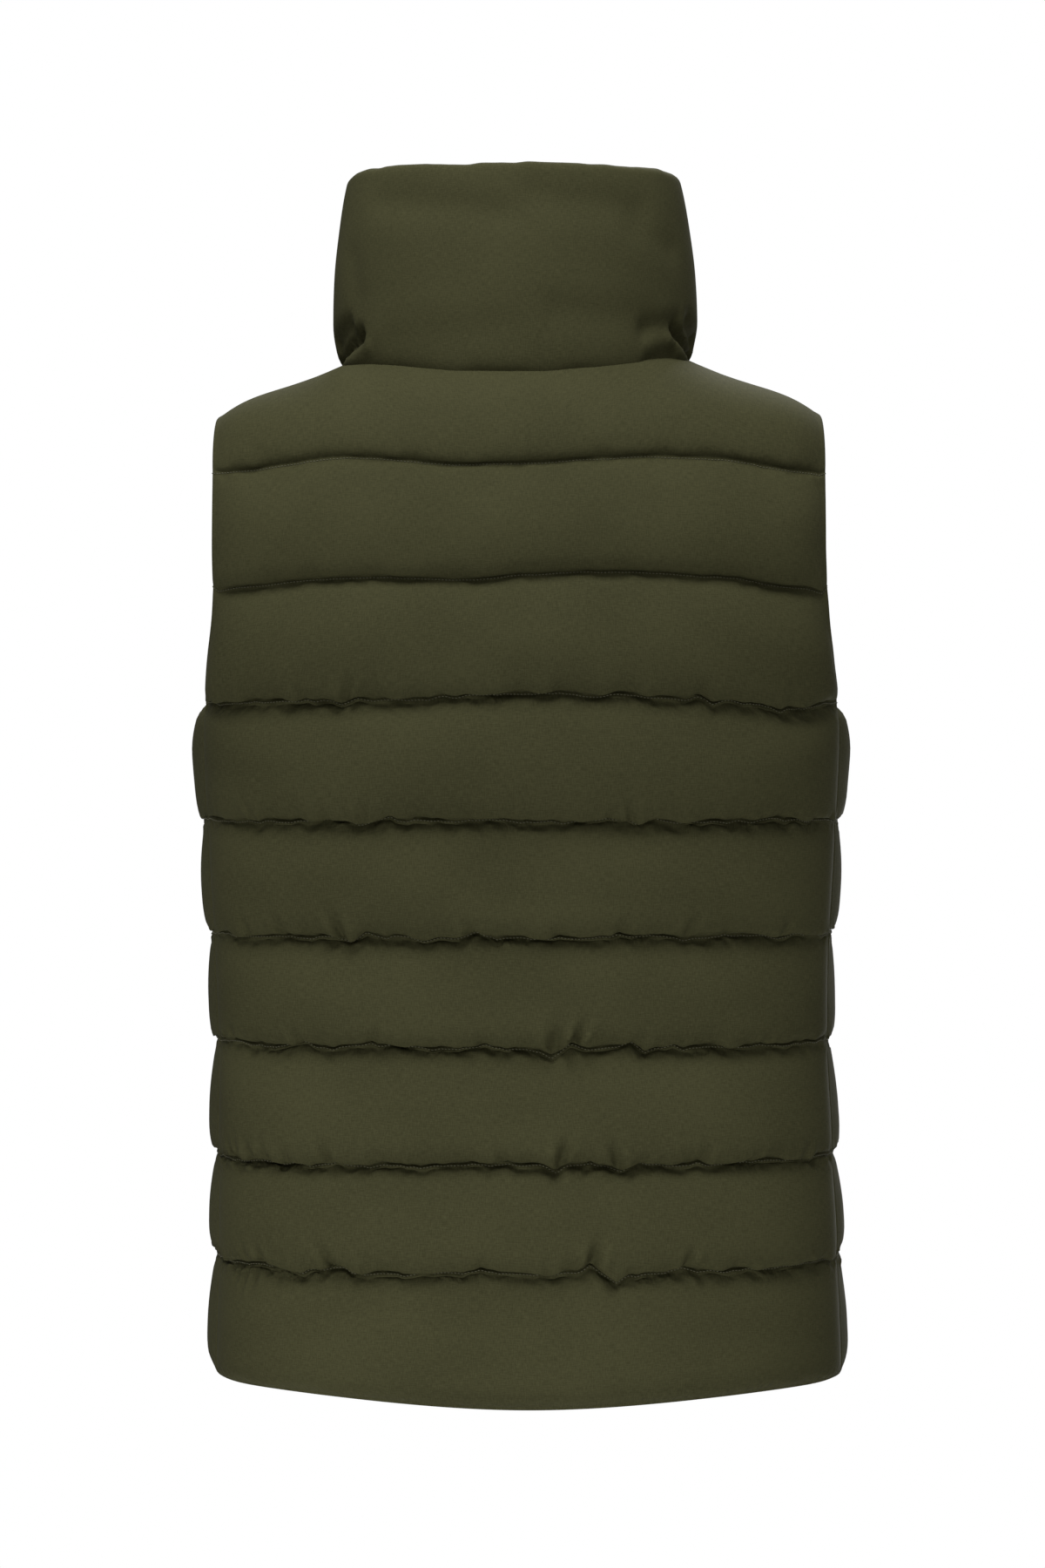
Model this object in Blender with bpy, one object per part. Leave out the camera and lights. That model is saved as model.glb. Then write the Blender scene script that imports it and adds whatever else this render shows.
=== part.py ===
"""Puffer vest: a hollow, worn shape of quilted panels with a padded stand collar and a front zip.

Metres, +Z up. The front faces -Y and the wearer's left is +X. The origin is in the neck, midway
between the shoulder ends of the neck seam. Each cloth panel is a closed wall: a plain inner face
and an outer face that swells between the level stitch rows. Panels stop SEAM_GAP apart.
"""

from collections import namedtuple
from math import atan2, pi, radians

import bmesh
import bpy
import numpy as np
from mathutils import Matrix, Vector

# ---- cloth ------------------------------------------------------------------------------
SEAM_GAP = 0.0003  # between pieces that are sewn to each other
WALL = 0.003  # shell, filling and lining where a seam presses them together
SECTION_FULLNESS = 0.62  # handle length of a body section: 0.55 is an ellipse, more is boxier
FULLEST = 0.40  # height in a channel, from its lower stitch row, where it stands out most
FULL_CHANNEL = 0.060  # a channel that is less tall than this stands out less
SWELL_POWER = 2.2  # 2 is a round channel, more has steeper sides
SIDE_TAPER = 0.085  # width over which a channel rises from a side seam
ARMHOLE_TAPER = 0.030  # the same, from an armhole's edge
ZIP_TAPER = 0.018  # the same, from the front edge at the zip
UNDERARM = 5.9  # height of the underarm, in stitch rows from the hem
YOKE_LIFT = 0.55  # how far up the yoke keeps the direction of the chest, at the centre line
YOKE_EDGE_LIFT = 0.92  # the same, at the armhole, which this rounds at its top
UNDERARM_BLEND = 0.5  # stitch rows over which the side seam's taper gives way to the armhole's
SHOULDER_BLEND = 0.2  # part of the yoke over which the cloth takes the shoulder seam's direction

# ---- outline: body sections, one row a level ---------------------------------------------
# turn: degrees from straight back-to-front at which the cloth reaches the side edge.
# back/front: depth of the centre line. back_edge/front_edge: y of the side seam or armhole.
# shift: how far the level hangs to the wearer's left; the zip stays straight.
Section = namedtuple(
    "Section", "level half_width shift back back_edge back_turn front front_edge front_turn"
)
SECTIONS = (
    Section(-0.6125, 0.1840, -0.0060, 0.113, 0.032, 12, 0.113, 0.032, -12),
    Section(-0.534, 0.1820, -0.0055, 0.110, 0.032, 12, 0.111, 0.032, -12),
    Section(-0.473, 0.1805, -0.0040, 0.103, 0.032, 12, 0.106, 0.032, -12),
    Section(-0.405, 0.1790, -0.0025, 0.095, 0.032, 12, 0.104, 0.032, -12),
    Section(-0.341, 0.1810, -0.0015, 0.096, 0.032, 12, 0.110, 0.032, -12),
    Section(-0.273, 0.1850, -0.0015, 0.104, 0.032, 12, 0.120, 0.032, -12),
    Section(-0.231, 0.1865, -0.0015, 0.109, 0.032, 12, 0.124, 0.032, -12),
    Section(-0.215, 0.1865, -0.0015, 0.111, 0.032, 12, 0.125, 0.032, -10),
    Section(-0.200, 0.1855, -0.0015, 0.112, 0.044, 20, 0.124, 0.012, 6),
    Section(-0.180, 0.1830, -0.0010, 0.112, 0.055, 30, 0.121, -0.014, 22),
    Section(-0.150, 0.1800, -0.0010, 0.111, 0.065, 40, 0.116, -0.036, 38),
    Section(-0.110, 0.1790, 0.0000, 0.107, 0.070, 50, 0.107, -0.050, 50),
    Section(-0.069, 0.1800, 0.0000, 0.098, 0.060, 52, 0.091, -0.044, 52),
)
HEM_LIFT = 0.0072  # how much higher the hem is at the side seams than at the centre
HEM_LIFT_SHARE = 0.78  # part of the half width over which it rises

# ---- stitch rows, hem first; puff is how far the channel above the row stands out ---------
Stitch = namedtuple("Stitch", "level puff")
STITCHES = (
    Stitch(-0.6125, 0.0095),
    Stitch(-0.534, 0.0100),
    Stitch(-0.473, 0.0105),
    Stitch(-0.405, 0.0100),
    Stitch(-0.341, 0.0105),
    Stitch(-0.273, 0.0110),
    Stitch(-0.203, 0.0105),
    Stitch(-0.135, 0.0100),
    Stitch(-0.069, 0.0075),
)
YOKE = len(STITCHES) - 1  # number of the channel between the last stitch row and the top edge

# ---- pinched folds beside the stitch rows of the back -------------------------------------
# across: metres to the left of the centre. drop: how far the stitch row sags there.
Pinch = namedtuple("Pinch", "row across width reach depth drop")
PINCHES = (
    Pinch(1, 0.158, 0.010, 0.34, 0.75, 0.0010),
    Pinch(1, 0.130, 0.009, 0.28, 0.60, -0.0012),
    Pinch(1, 0.098, 0.011, 0.36, 0.80, 0.0015),
    Pinch(1, -0.036, 0.011, 0.42, 0.85, -0.0025),
    Pinch(1, -0.052, 0.010, 0.20, 0.30, 0.0022),
    Pinch(1, -0.088, 0.010, 0.28, 0.60, 0.0010),
    Pinch(2, 0.135, 0.010, 0.28, 0.55, 0.0012),
    Pinch(2, 0.110, 0.011, 0.36, 0.75, -0.0014),
    Pinch(2, -0.016, 0.013, 0.38, 0.70, 0.0026),
    Pinch(2, -0.055, 0.010, 0.30, 0.65, 0.0022),
    Pinch(2, -0.100, 0.011, 0.32, 0.60, -0.0012),
    Pinch(3, 0.110, 0.012, 0.34, 0.70, 0.0012),
    Pinch(3, 0.076, 0.010, 0.26, 0.50, -0.0012),
    Pinch(3, 0.006, 0.010, 0.32, 0.65, -0.0010),
    Pinch(3, -0.016, 0.010, 0.42, 0.85, 0.0030),
    Pinch(3, -0.064, 0.012, 0.30, 0.60, -0.0016),
    Pinch(4, 0.122, 0.012, 0.34, 0.65, 0.0014),
    Pinch(4, 0.085, 0.011, 0.36, 0.80, -0.0018),
    Pinch(4, 0.018, 0.012, 0.30, 0.60, 0.0014),
    Pinch(4, -0.050, 0.010, 0.26, 0.45, -0.0010),
    Pinch(4, -0.088, 0.012, 0.32, 0.65, 0.0012),
    Pinch(5, 0.150, 0.011, 0.32, 0.60, 0.0012),
    Pinch(5, 0.100, 0.010, 0.30, 0.55, -0.0012),
    Pinch(5, 0.076, 0.010, 0.34, 0.70, 0.0016),
    Pinch(5, -0.026, 0.011, 0.24, 0.40, -0.0008),
    Pinch(5, -0.060, 0.013, 0.30, 0.55, 0.0014),
    Pinch(6, 0.120, 0.011, 0.30, 0.60, -0.0012),
    Pinch(6, 0.096, 0.010, 0.28, 0.60, 0.0014),
    Pinch(6, -0.022, 0.010, 0.22, 0.35, 0.0006),
    Pinch(6, -0.095, 0.011, 0.28, 0.55, 0.0012),
    Pinch(6, -0.148, 0.011, 0.30, 0.60, -0.0012),
)
DROP_REACH = 0.45  # how far above and below its row a drop is felt, in channels

# ---- neck and shoulders -------------------------------------------------------------------
NECK_HALF_WIDTH = 0.096
NECK_SHIFT = 0.0020
NECK_SIDE_LEVEL = 0.0045
NECK_TILT = 0.0015  # how much higher its right side is, and its left side lower
SHOULDER_TIP = (0.1825, 0.0, -0.0322)
SHOULDER_TILT = 0.0010  # how much higher its right tip is, and its left tip lower
YOKE_LENGTH = 0.06  # up the cloth, from the last stitch row to the top edge
SHORTEST_HALF = 0.2  # half the girth of a panel where it is least
Neck = namedtuple("Neck", "depth level")
BACK_NECK = Neck(0.066, -0.007)
FRONT_NECK = Neck(-0.080, -0.052)

# ---- collar: a padded band; swell is its thickness beyond WALL, up its height -------------
COLLAR_TOP_HALF_WIDTH = 0.0885
COLLAR_TOP_SHIFT = 0.0032
COLLAR_BACK_TOP = Neck(0.058, 0.1140)
COLLAR_SIDE_TOP = 0.1165
COLLAR_FRONT_TOP = Neck(-0.090, 0.0920)
COLLAR_BOW = 0.003  # how far the band's middle stands out from its straight side
Swell = namedtuple("Swell", "height back front")
COLLAR_SWELLS = (
    Swell(0.00, 0.0000, 0.0000),
    Swell(0.02, 0.0058, 0.0010),
    Swell(0.08, 0.0098, 0.0062),
    Swell(0.22, 0.0114, 0.0112),
    Swell(0.46, 0.0112, 0.0112),
    Swell(0.68, 0.0104, 0.0104),
    Swell(0.85, 0.0098, 0.0098),
    Swell(0.94, 0.0080, 0.0080),
    Swell(0.99, 0.0045, 0.0045),
)
COLLAR_FRONT_START = 1.40  # angle from the centre back where the foot's swell starts to ease
COLLAR_FRONT_TURN = 0.50  # angle over which it reaches the front's swell
COLLAR_LEAN = 0.8  # how far the front's foot swells away from the panels, not straight out
COLLAR_LEAN_HEIGHT = 0.15  # up to which it leans
COLLAR_AT_ZIP = 0.25  # part of the swell that is left at the zip
COLLAR_INNER_HEIGHTS = (0.0, 0.33, 0.66, 0.985)

# ---- zip ----------------------------------------------------------------------------------
FRONT_EDGE = 0.0053  # from the centre line to each front's edge
TAPE_WIDTH = 0.016
TAPE_THICKNESS = 0.0009
CHAIN_HALF_WIDTH = 0.0030
CHAIN_THICKNESS = 0.0024
BOX_SIZE = Vector((0.0090, 0.0034, 0.0120))
BOX_ROUNDING = 0.0006
SLIDER_SIZE = Vector((0.0084, 0.0040, 0.0130))
SLIDER_ROUNDING = 0.0007
SLIDER_DROP = 0.016  # from the collar's top edge down to the slider's middle
BAIL_WIDTH = 0.0022
BAIL_LENGTH = 0.0100
BAIL_RISE = 0.0036
BAIL_BAR = 0.0014
BAIL_SUNK = 0.0008  # how deep its feet go into the slider
BAIL_ROUNDING = 0.0004
PULL_SIZE = Vector((0.0066, 0.0012, 0.0340))
PULL_ROUNDING = 0.0003
PULL_HALF_BAR = 0.0006  # half the thickness of the bar it hangs on
PULL_SLOT_HALF_WIDTH = 0.0017
PULL_SLOT_END = 0.0068  # from the bar's middle to the slot's far end

# ---- fineness of the walls ----------------------------------------------------------------
CHANNEL_STEPS = (0.0, 0.13, 0.40, 0.68, 0.88)
ARMHOLE_INNER_STEPS = (0, 2, 4)  # rows of the inner face kept beside the armholes
FIRST_ARMHOLE_CHANNEL = 5
NECK_SEGMENTS = 13
SHOULDER_SEGMENTS = 10
CURVE_SAMPLES = 65

COLOURS = {
    "shell": ((0.062, 0.060, 0.030), 0.75, 0.0),
    "tape": ((0.030, 0.029, 0.018), 0.85, 0.0),
    "teeth": ((0.020, 0.020, 0.018), 0.45, 0.0),
    "metal": ((0.080, 0.078, 0.070), 0.35, 0.9),
}


# ---- reading the tables -------------------------------------------------------------------
def column(rows, name):
    return np.array([getattr(row, name) for row in rows], dtype=float)


def smooth(value, knots, heights):
    """A curve through (knots, heights) with no corners, read at value; it never overshoots."""
    value = np.clip(value, knots[0], knots[-1])
    rates = np.diff(heights) / np.diff(knots)
    product = rates[:-1] * rates[1:]
    total = np.where(product > 0, rates[:-1] + rates[1:], 1)
    slopes = np.concatenate((rates[:1], np.where(product > 0, 2 * product / total, 0), rates[-1:]))
    place = np.clip(np.searchsorted(knots, value) - 1, 0, len(knots) - 2)
    width = knots[place + 1] - knots[place]
    t = (value - knots[place]) / width
    return (
        (1 + 2 * t) * (1 - t) ** 2 * heights[place]
        + t * (1 - t) ** 2 * width * slopes[place]
        + t * t * (3 - 2 * t) * heights[place + 1]
        + t * t * (t - 1) * width * slopes[place + 1]
    )


STITCH_LEVELS = column(STITCHES, "level")
SECTION_LEVELS = column(SECTIONS, "level")


def body(name, level):
    return smooth(level, SECTION_LEVELS, column(SECTIONS, name))


def unit(vectors):
    return vectors / np.linalg.norm(vectors, axis=-1, keepdims=True)


# ---- the plain form under the quilting ----------------------------------------------------
def half_section(side, level):
    """Samples of a level section from the centre line to the left edge, evenly along it."""
    half_width = body("half_width", level)
    turn = np.radians(body(side + "_turn", level))
    sign = 1 if side == "back" else -1
    depth = sign * body(side, level)
    edge = body(side + "_edge", level)
    handle = SECTION_FULLNESS * abs(depth - edge)
    start = np.array((0.0, depth))
    start_handle = np.array((SECTION_FULLNESS * half_width, depth))
    end = np.array((half_width, edge))
    end_handle = end + handle * np.array((-np.sin(turn), sign * np.cos(turn)))
    t = np.linspace(0, 1, CURVE_SAMPLES)[:, None]
    curve = (
        (1 - t) ** 3 * start
        + 3 * t * (1 - t) ** 2 * start_handle
        + 3 * t * t * (1 - t) * end_handle
        + t**3 * end
    )
    return curve, np.append(0, np.cumsum(np.linalg.norm(np.diff(curve, axis=0), axis=1)))


def section_points(side, level, fractions):
    """Points on a level section, at fractions of its half length, negative to the right."""
    curve, lengths = half_section(side, level)
    at = np.abs(fractions) * lengths[-1]
    shift = body("shift", level) * (np.abs(fractions) if side == "front" else 1)
    across = np.sign(fractions) * np.interp(at, lengths, curve[:, 0]) + shift
    deep = np.interp(at, lengths, curve[:, 1])
    return np.stack((across, deep, np.full_like(across, level)), axis=-1)


def neck_point(angle):
    """The neck seam; the angle is 0 at the centre back, and pi at the centre front."""
    centre_depth = np.where(np.abs(angle) < pi / 2, BACK_NECK.depth, -FRONT_NECK.depth)
    centre_level = np.where(np.abs(angle) < pi / 2, BACK_NECK.level, FRONT_NECK.level)
    rise = (centre_level - NECK_SIDE_LEVEL) * np.cos(angle) ** 2
    across = NECK_HALF_WIDTH * np.sin(angle) + NECK_SHIFT
    level = NECK_SIDE_LEVEL + rise - NECK_TILT * np.sin(angle)
    return np.stack((across, centre_depth * np.cos(angle), level), axis=-1)


def neck_share(side):
    """The part of a panel's top edge that lies in the neck seam; the rest is the shoulder."""
    quarter = np.linspace(0, pi / 2, CURVE_SAMPLES) + (0 if side == "back" else pi / 2)
    neck = np.linalg.norm(np.diff(neck_point(quarter), axis=0), axis=1).sum()
    shoulder = np.linalg.norm(np.subtract(SHOULDER_TIP, (NECK_HALF_WIDTH, 0, NECK_SIDE_LEVEL)))
    return neck / (neck + shoulder)


def top_points(side, fractions):
    """Points along a panel's top edge: neck seam, then shoulder seam."""
    share = neck_share(side)
    sign = np.where(fractions < 0, -1.0, 1.0)
    along_neck = np.clip(np.abs(fractions) / share, 0, 1) * pi / 2
    angle = sign * (along_neck if side == "back" else pi - along_neck)
    neck = neck_point(np.where(np.abs(np.abs(angle) - pi / 2) < 1e-9, sign * pi / 2, angle))
    out = np.clip((np.abs(fractions) - share) / (1 - share), 0, 1)[:, None]
    tip_across, tip_deep, tip_level = SHOULDER_TIP
    level = tip_level - SHOULDER_TILT * sign
    tip = np.stack((sign * tip_across, np.full_like(sign, tip_deep), level), axis=-1)
    return neck + out * (tip - neck) * (out > 0)


def skin_row(side, fractions, height):
    """One row of the plain form. Height counts stitch rows, and the top edge is YOKE + 1."""
    if height <= YOKE:
        level = np.interp(height, np.arange(YOKE + 1), STITCH_LEVELS)
        row = section_points(side, level, fractions)
        out = np.clip(np.abs(fractions) / HEM_LIFT_SHARE, 0, 1)
        row[:, 2] += HEM_LIFT * out * out * (3 - 2 * out) * max(1 - height, 0)
        return row
    share = height - YOKE
    top_level = STITCH_LEVELS[-1]
    step = 0.004
    start = section_points(side, top_level, fractions)
    rise = (start - section_points(side, top_level - step, fractions)) / step
    end = top_points(side, fractions)
    lift = YOKE_LIFT + (YOKE_EDGE_LIFT - YOKE_LIFT) * np.abs(fractions[:, None]) ** 3
    bend = start + rise * lift * (end - start)[:, 2:3]
    return (1 - share) ** 2 * start + 2 * share * (1 - share) * bend + share**2 * end


def skin(side, fractions, heights):
    return np.stack([skin_row(side, fractions, height) for height in heights])


def skin_normals(side, fractions, heights):
    """Outward directions of the plain form; the shoulder seam's are shared by both panels."""
    step = 1e-3
    top = YOKE + 1
    lower = [max(height - step, 0) for height in heights]
    upper = [min(height + step, top) for height in heights]
    up = skin(side, fractions, upper) - skin(side, fractions, lower)
    inner = np.where(fractions < 0, fractions, fractions - step)
    outer = np.where(fractions < 0, fractions + step, fractions)
    along = skin(side, outer, heights) - skin(side, inner, heights)
    normals = unit(np.cross(up, along) if side == "back" else np.cross(along, up))
    drop = NECK_SIDE_LEVEL - SHOULDER_TIP[2]
    run = SHOULDER_TIP[0] - NECK_HALF_WIDTH - NECK_SHIFT * np.sign(fractions)
    on_shoulder = np.abs(fractions) >= neck_share(side) - 1e-6
    seam = unit(np.stack((np.sign(fractions) * drop, 0 * fractions, 0 * fractions + run), -1))
    for row, height in enumerate(heights):
        near_top = np.clip(1 - (top - height) / SHOULDER_BLEND, 0, 1) * on_shoulder
        normals[row] = unit(normals[row] * (1 - near_top[:, None]) + seam * near_top[:, None])
    return normals


# ---- quilting -----------------------------------------------------------------------------
def swell(share):
    """A channel's profile, 0 at both stitch rows and 1 where it is fullest."""
    span = np.where(share < FULLEST, FULLEST, 1 - FULLEST)
    return 1 - np.abs((share - FULLEST) / span) ** SWELL_POWER


def taper(distance, width):
    return 1 - (1 - np.clip(distance / width, 0, 1)) ** 2


def pinched(across, height):
    """The share of the swell left beside the pinched folds, and how far the cloth sags there."""
    left = np.ones_like(across)
    sag = np.zeros_like(across)
    for pinch in PINCHES:
        beside = np.exp(-(((across - pinch.across) / pinch.width) ** 2))
        rows_away = abs(height - pinch.row)
        left *= 1 - pinch.depth * beside * np.exp(-rows_away / pinch.reach)
        sag += pinch.drop * beside * max(1 - rows_away / DROP_REACH, 0)
    return left, sag


def half_length(side, height):
    level = np.interp(min(height, YOKE), np.arange(YOKE + 1), STITCH_LEVELS)
    return half_section(side, level)[1][-1]


def padding(side, fractions, heights, edges):
    """How far the outer face stands beyond WALL, over a panel whose side edges are given."""
    rows = []
    for height in heights:
        channel = min(int(height), YOKE)
        share = height - channel
        length = half_length(side, height)
        row = STITCHES[channel].puff * swell(np.full_like(fractions, share))
        if channel == YOKE:
            rise = top_points(side, fractions) - section_points(side, STITCH_LEVELS[-1], fractions)
            row = row * np.clip(np.linalg.norm(rise, axis=1) / FULL_CHANNEL, 0, 1)
        for edge in edges:
            if abs(edge) < 1:
                width = ZIP_TAPER
            else:
                above = np.clip((height - UNDERARM) / UNDERARM_BLEND + 1, 0, 1)
                width = SIDE_TAPER + (ARMHOLE_TAPER - SIDE_TAPER) * above
            row = row * taper(np.abs(fractions - edge) * length, width)
        if side == "back":
            row = row * pinched(fractions * length, height)[0]
        rows.append(row)
    return np.clip(np.stack(rows), 0, None)


def sagging(fractions, heights):
    """How far the back's outer face sags beside the pinched folds."""
    return np.stack([pinched(fractions * half_length("back", h), h)[1] for h in heights])


# ---- meshes -------------------------------------------------------------------------------
def add_sheet(mesh, points):
    """A grid laid on an array of points; returns its vertices in the same rows."""
    rows, columns = points.shape[:2]
    made = bmesh.ops.create_grid(mesh, x_segments=columns - 1, y_segments=rows - 1, size=1)
    for vertex, place in zip(made["verts"], points.reshape(-1, 3)):
        vertex.co = place
    return np.array(made["verts"], dtype=object).reshape(rows, columns)


def add_side_rim(mesh, outer, inner, kept):
    """Closes a side between a fine outer edge and an inner edge that has only its kept rows."""
    for place, (first_row, last_row) in enumerate(zip(kept, kept[1:])):
        fan = outer[first_row : last_row + 1]
        middle = (len(fan) - 1) // 2
        for low, (first, second) in enumerate(zip(fan, fan[1:])):
            mesh.faces.new((inner[place + (low >= middle)], first, second))
        mesh.faces.new((inner[place], fan[middle], inner[place + 1]))


def wall_object(name, outer_points, inner_points, finish, collection, kept=None):
    """A closed wall from an outer grid, and an inner grid of as many columns and kept rows."""
    kept = range(len(outer_points)) if kept is None else kept
    mesh = bmesh.new()
    outer = add_sheet(mesh, outer_points)
    inner = add_sheet(mesh, inner_points)
    for outer_edge, inner_edge in ((outer[0], inner[0]), (outer[-1], inner[-1])):
        for corner in zip(outer_edge, outer_edge[1:], inner_edge[1:], inner_edge):
            mesh.faces.new(corner)
    for edge in (0, -1):
        add_side_rim(mesh, outer[:, edge], inner[:, edge], kept)
    return mesh_object(name, mesh, finish, collection)


def mesh_object(name, mesh, finish, collection):
    bmesh.ops.recalc_face_normals(mesh, faces=mesh.faces)
    if mesh.calc_volume(signed=True) < 0:
        bmesh.ops.reverse_faces(mesh, faces=mesh.faces)
    data = bpy.data.meshes.new(name)
    mesh.to_mesh(data)
    mesh.free()
    made = bpy.data.objects.new(name, data)
    collection.objects.link(made)
    data.materials.append(finish)
    data.shade_smooth()
    data.set_sharp_from_angle(angle=radians(50))
    return made


def make_finish(name):
    colour, roughness, metallic = COLOURS[name]
    finish = bpy.data.materials.new(name)
    finish.use_nodes = True
    shader = finish.node_tree.nodes["Principled BSDF"]
    shader.inputs["Base Color"].default_value = (*colour, 1)
    shader.inputs["Roughness"].default_value = roughness
    shader.inputs["Metallic"].default_value = metallic
    return finish


# ---- panels -------------------------------------------------------------------------------
def panel_heights():
    """Heights of the outer rows; the ends stop half a seam gap short."""
    heights = [channel + step for channel in range(YOKE + 1) for step in CHANNEL_STEPS]
    return np.array(heights + [YOKE + 1 - SEAM_GAP / 2 / YOKE_LENGTH])


def inner_rows():
    """Which outer rows the inner face keeps: one a channel, and more beside the armholes."""
    steps = len(CHANNEL_STEPS)
    kept = []
    for channel in range(YOKE + 1):
        inside = ARMHOLE_INNER_STEPS if channel >= FIRST_ARMHOLE_CHANNEL else (0,)
        kept += [channel * steps + step for step in inside]
    return kept + [(YOKE + 1) * steps]


def panel_fractions(side, first):
    """Column places from first to the side edge, with one exactly at the neck corner."""
    share = neck_share(side)
    last = 1 - SEAM_GAP / 2 / SHORTEST_HALF
    neck = np.linspace(first, share, NECK_SEGMENTS + 1)
    return np.append(neck, np.linspace(share, last, SHOULDER_SEGMENTS + 1)[1:])


def make_panel(name, side, fractions, edges, finish, collection):
    heights = panel_heights()
    outward = WALL + padding(side, fractions, heights, edges)
    outer = skin(side, fractions, heights)
    outer = outer + skin_normals(side, fractions, heights) * outward[..., None]
    if side == "back":
        outer[..., 2] -= sagging(fractions, heights)
    kept = inner_rows()
    inner = skin(side, fractions, heights[kept])
    return wall_object(name, outer, inner, finish, collection, kept)


def make_back(finish, collection):
    left = panel_fractions("back", 0.0)
    fractions = np.concatenate((-left[:0:-1], left))
    return make_panel("back", "back", fractions, (-1, 1), finish, collection)


def front_edge_fraction():
    return FRONT_EDGE / half_section("front", STITCH_LEVELS[0])[1][-1]


def make_front(name, sign, finish, collection):
    fractions = sign * panel_fractions("front", front_edge_fraction())
    edges = (sign, sign * front_edge_fraction())
    return make_panel(name, "front", fractions, edges, finish, collection)


# ---- collar -------------------------------------------------------------------------------
def collar_top(angle):
    at_back = np.abs(angle) < pi / 2
    end = np.where(at_back, COLLAR_BACK_TOP.level, COLLAR_FRONT_TOP.level)
    level = COLLAR_SIDE_TOP + (end - COLLAR_SIDE_TOP) * np.cos(angle) ** 2
    depth = np.where(at_back, COLLAR_BACK_TOP.depth, -COLLAR_FRONT_TOP.depth) * np.cos(angle)
    across = COLLAR_TOP_HALF_WIDTH * np.sin(angle) + COLLAR_TOP_SHIFT
    return np.stack((across, depth, level), axis=-1)


def collar_row(angles, height):
    """One row of the collar's inner face, from the neck seam at 0 to the top edge at 1."""
    foot = neck_point(angles)
    top = collar_top(angles)
    out = unit(foot * (1, 1, 0))
    bow = COLLAR_BOW * 4 * height * (1 - height)
    return foot + (top - foot) * height + out * bow


def collar_normals(angles, height):
    step = 1e-3
    up = collar_row(angles, height + step) - collar_row(angles, height - step)
    along = collar_row(angles + step, height) - collar_row(angles - step, height)
    return unit(np.cross(up, along))


def seam_normals(angles):
    """Outward directions of the panels' top edges, at angles round the neck seam."""
    found = np.empty((len(angles), 3))
    for side in ("back", "front"):
        turned = np.abs(angles) if side == "back" else pi - np.abs(angles)
        fractions = np.where(angles < 0, -1, 1) * turned / (pi / 2) * neck_share(side)
        here = turned <= pi / 2 + 1e-9
        top = np.array([YOKE + 1 - 1e-3])
        found[here] = skin_normals(side, fractions[here], top)[0]
    return found


def neck_angles():
    """The angles of the panels' columns round the neck seam, which the collar's columns meet."""
    back = panel_fractions("back", 0.0)[: NECK_SEGMENTS + 1] / neck_share("back")
    front = panel_fractions("front", front_edge_fraction())[: NECK_SEGMENTS + 1]
    left = np.append(back * pi / 2, (pi - front[-2::-1] / neck_share("front") * pi / 2))
    return np.append(-left[:0:-1], left)


def make_collar(finish, collection):
    angles = neck_angles()
    last = angles[-1]
    front = np.clip((np.abs(angles) - COLLAR_FRONT_START) / COLLAR_FRONT_TURN, 0, 1)[:, None]
    from_zip = (last - np.abs(angles)) * COLLAR_TOP_HALF_WIDTH
    fullness = COLLAR_AT_ZIP + (1 - COLLAR_AT_ZIP) * taper(from_zip, ZIP_TAPER)[:, None]
    gap = unit(collar_row(angles, 0.1) - collar_row(angles, 0.0)) * SEAM_GAP
    outer = []
    for row in COLLAR_SWELLS:
        thickness = WALL + (row.back + (row.front - row.back) * front) * fullness
        lean = front * max(1 - row.height / COLLAR_LEAN_HEIGHT, 0) * COLLAR_LEAN
        plain = collar_normals(angles, row.height)
        outward = unit(plain + (seam_normals(angles) - plain) * lean)
        outer.append(collar_row(angles, row.height) + outward * thickness)
    outer[0] = collar_row(angles, 0.0) + seam_normals(angles) * WALL + gap
    inner = [collar_row(angles, height) for height in COLLAR_INNER_HEIGHTS]
    inner[0] = inner[0] + gap
    mesh = bmesh.new()
    rows = np.concatenate((np.stack(outer), np.stack(inner)[::-1]))
    ring = add_sheet(mesh, rows)
    for corner in zip(ring[0], ring[0][1:], ring[-1][1:], ring[-1]):
        mesh.faces.new(corner)
    for end in (0, -1):
        mesh.faces.new(ring[:, end])
    return mesh_object("collar", mesh, finish, collection)


# ---- zip ----------------------------------------------------------------------------------
def zip_rows(offsets_across):
    """The fronts' and the collar's inner face near the centre front, with outward directions."""
    across = np.array(offsets_across)
    panel_rows = panel_heights()[inner_rows()]
    fractions = across / half_section("front", STITCH_LEVELS[0])[1][-1]
    points = list(skin("front", fractions, panel_rows))
    normals = list(skin_normals("front", fractions, panel_rows))
    angles = np.sign(across) * (pi - np.abs(across) / COLLAR_TOP_HALF_WIDTH)
    for height in COLLAR_INNER_HEIGHTS[1:]:
        points.append(collar_row(angles, height))
        normals.append(collar_normals(angles, height))
    return np.stack(points), np.stack(normals)


def strip_object(name, across, inner_offset, outer_offset, finish, collection):
    points, normals = zip_rows(across)
    outer = points + normals * outer_offset
    inner = points + normals * inner_offset
    return wall_object(name, outer, inner, finish, collection)


def make_tape(name, sign, finish, collection):
    across = [sign * x for x in (SEAM_GAP / 2, FRONT_EDGE, TAPE_WIDTH)]
    back_of_tape = -SEAM_GAP - TAPE_THICKNESS
    return strip_object(name, across, back_of_tape, -SEAM_GAP, finish, collection)


def collar_front_frame():
    """The slider's place on the tapes, and how far the collar leans forward there."""
    angle = np.array([pi - 1e-6])
    upper = collar_row(angle, COLLAR_INNER_HEIGHTS[-1])[0]
    lower = collar_row(angle, COLLAR_INNER_HEIGHTS[-2])[0]
    up = unit(upper - lower)
    return Vector(upper - up * SLIDER_DROP), atan2(-up[1], up[2])


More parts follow.
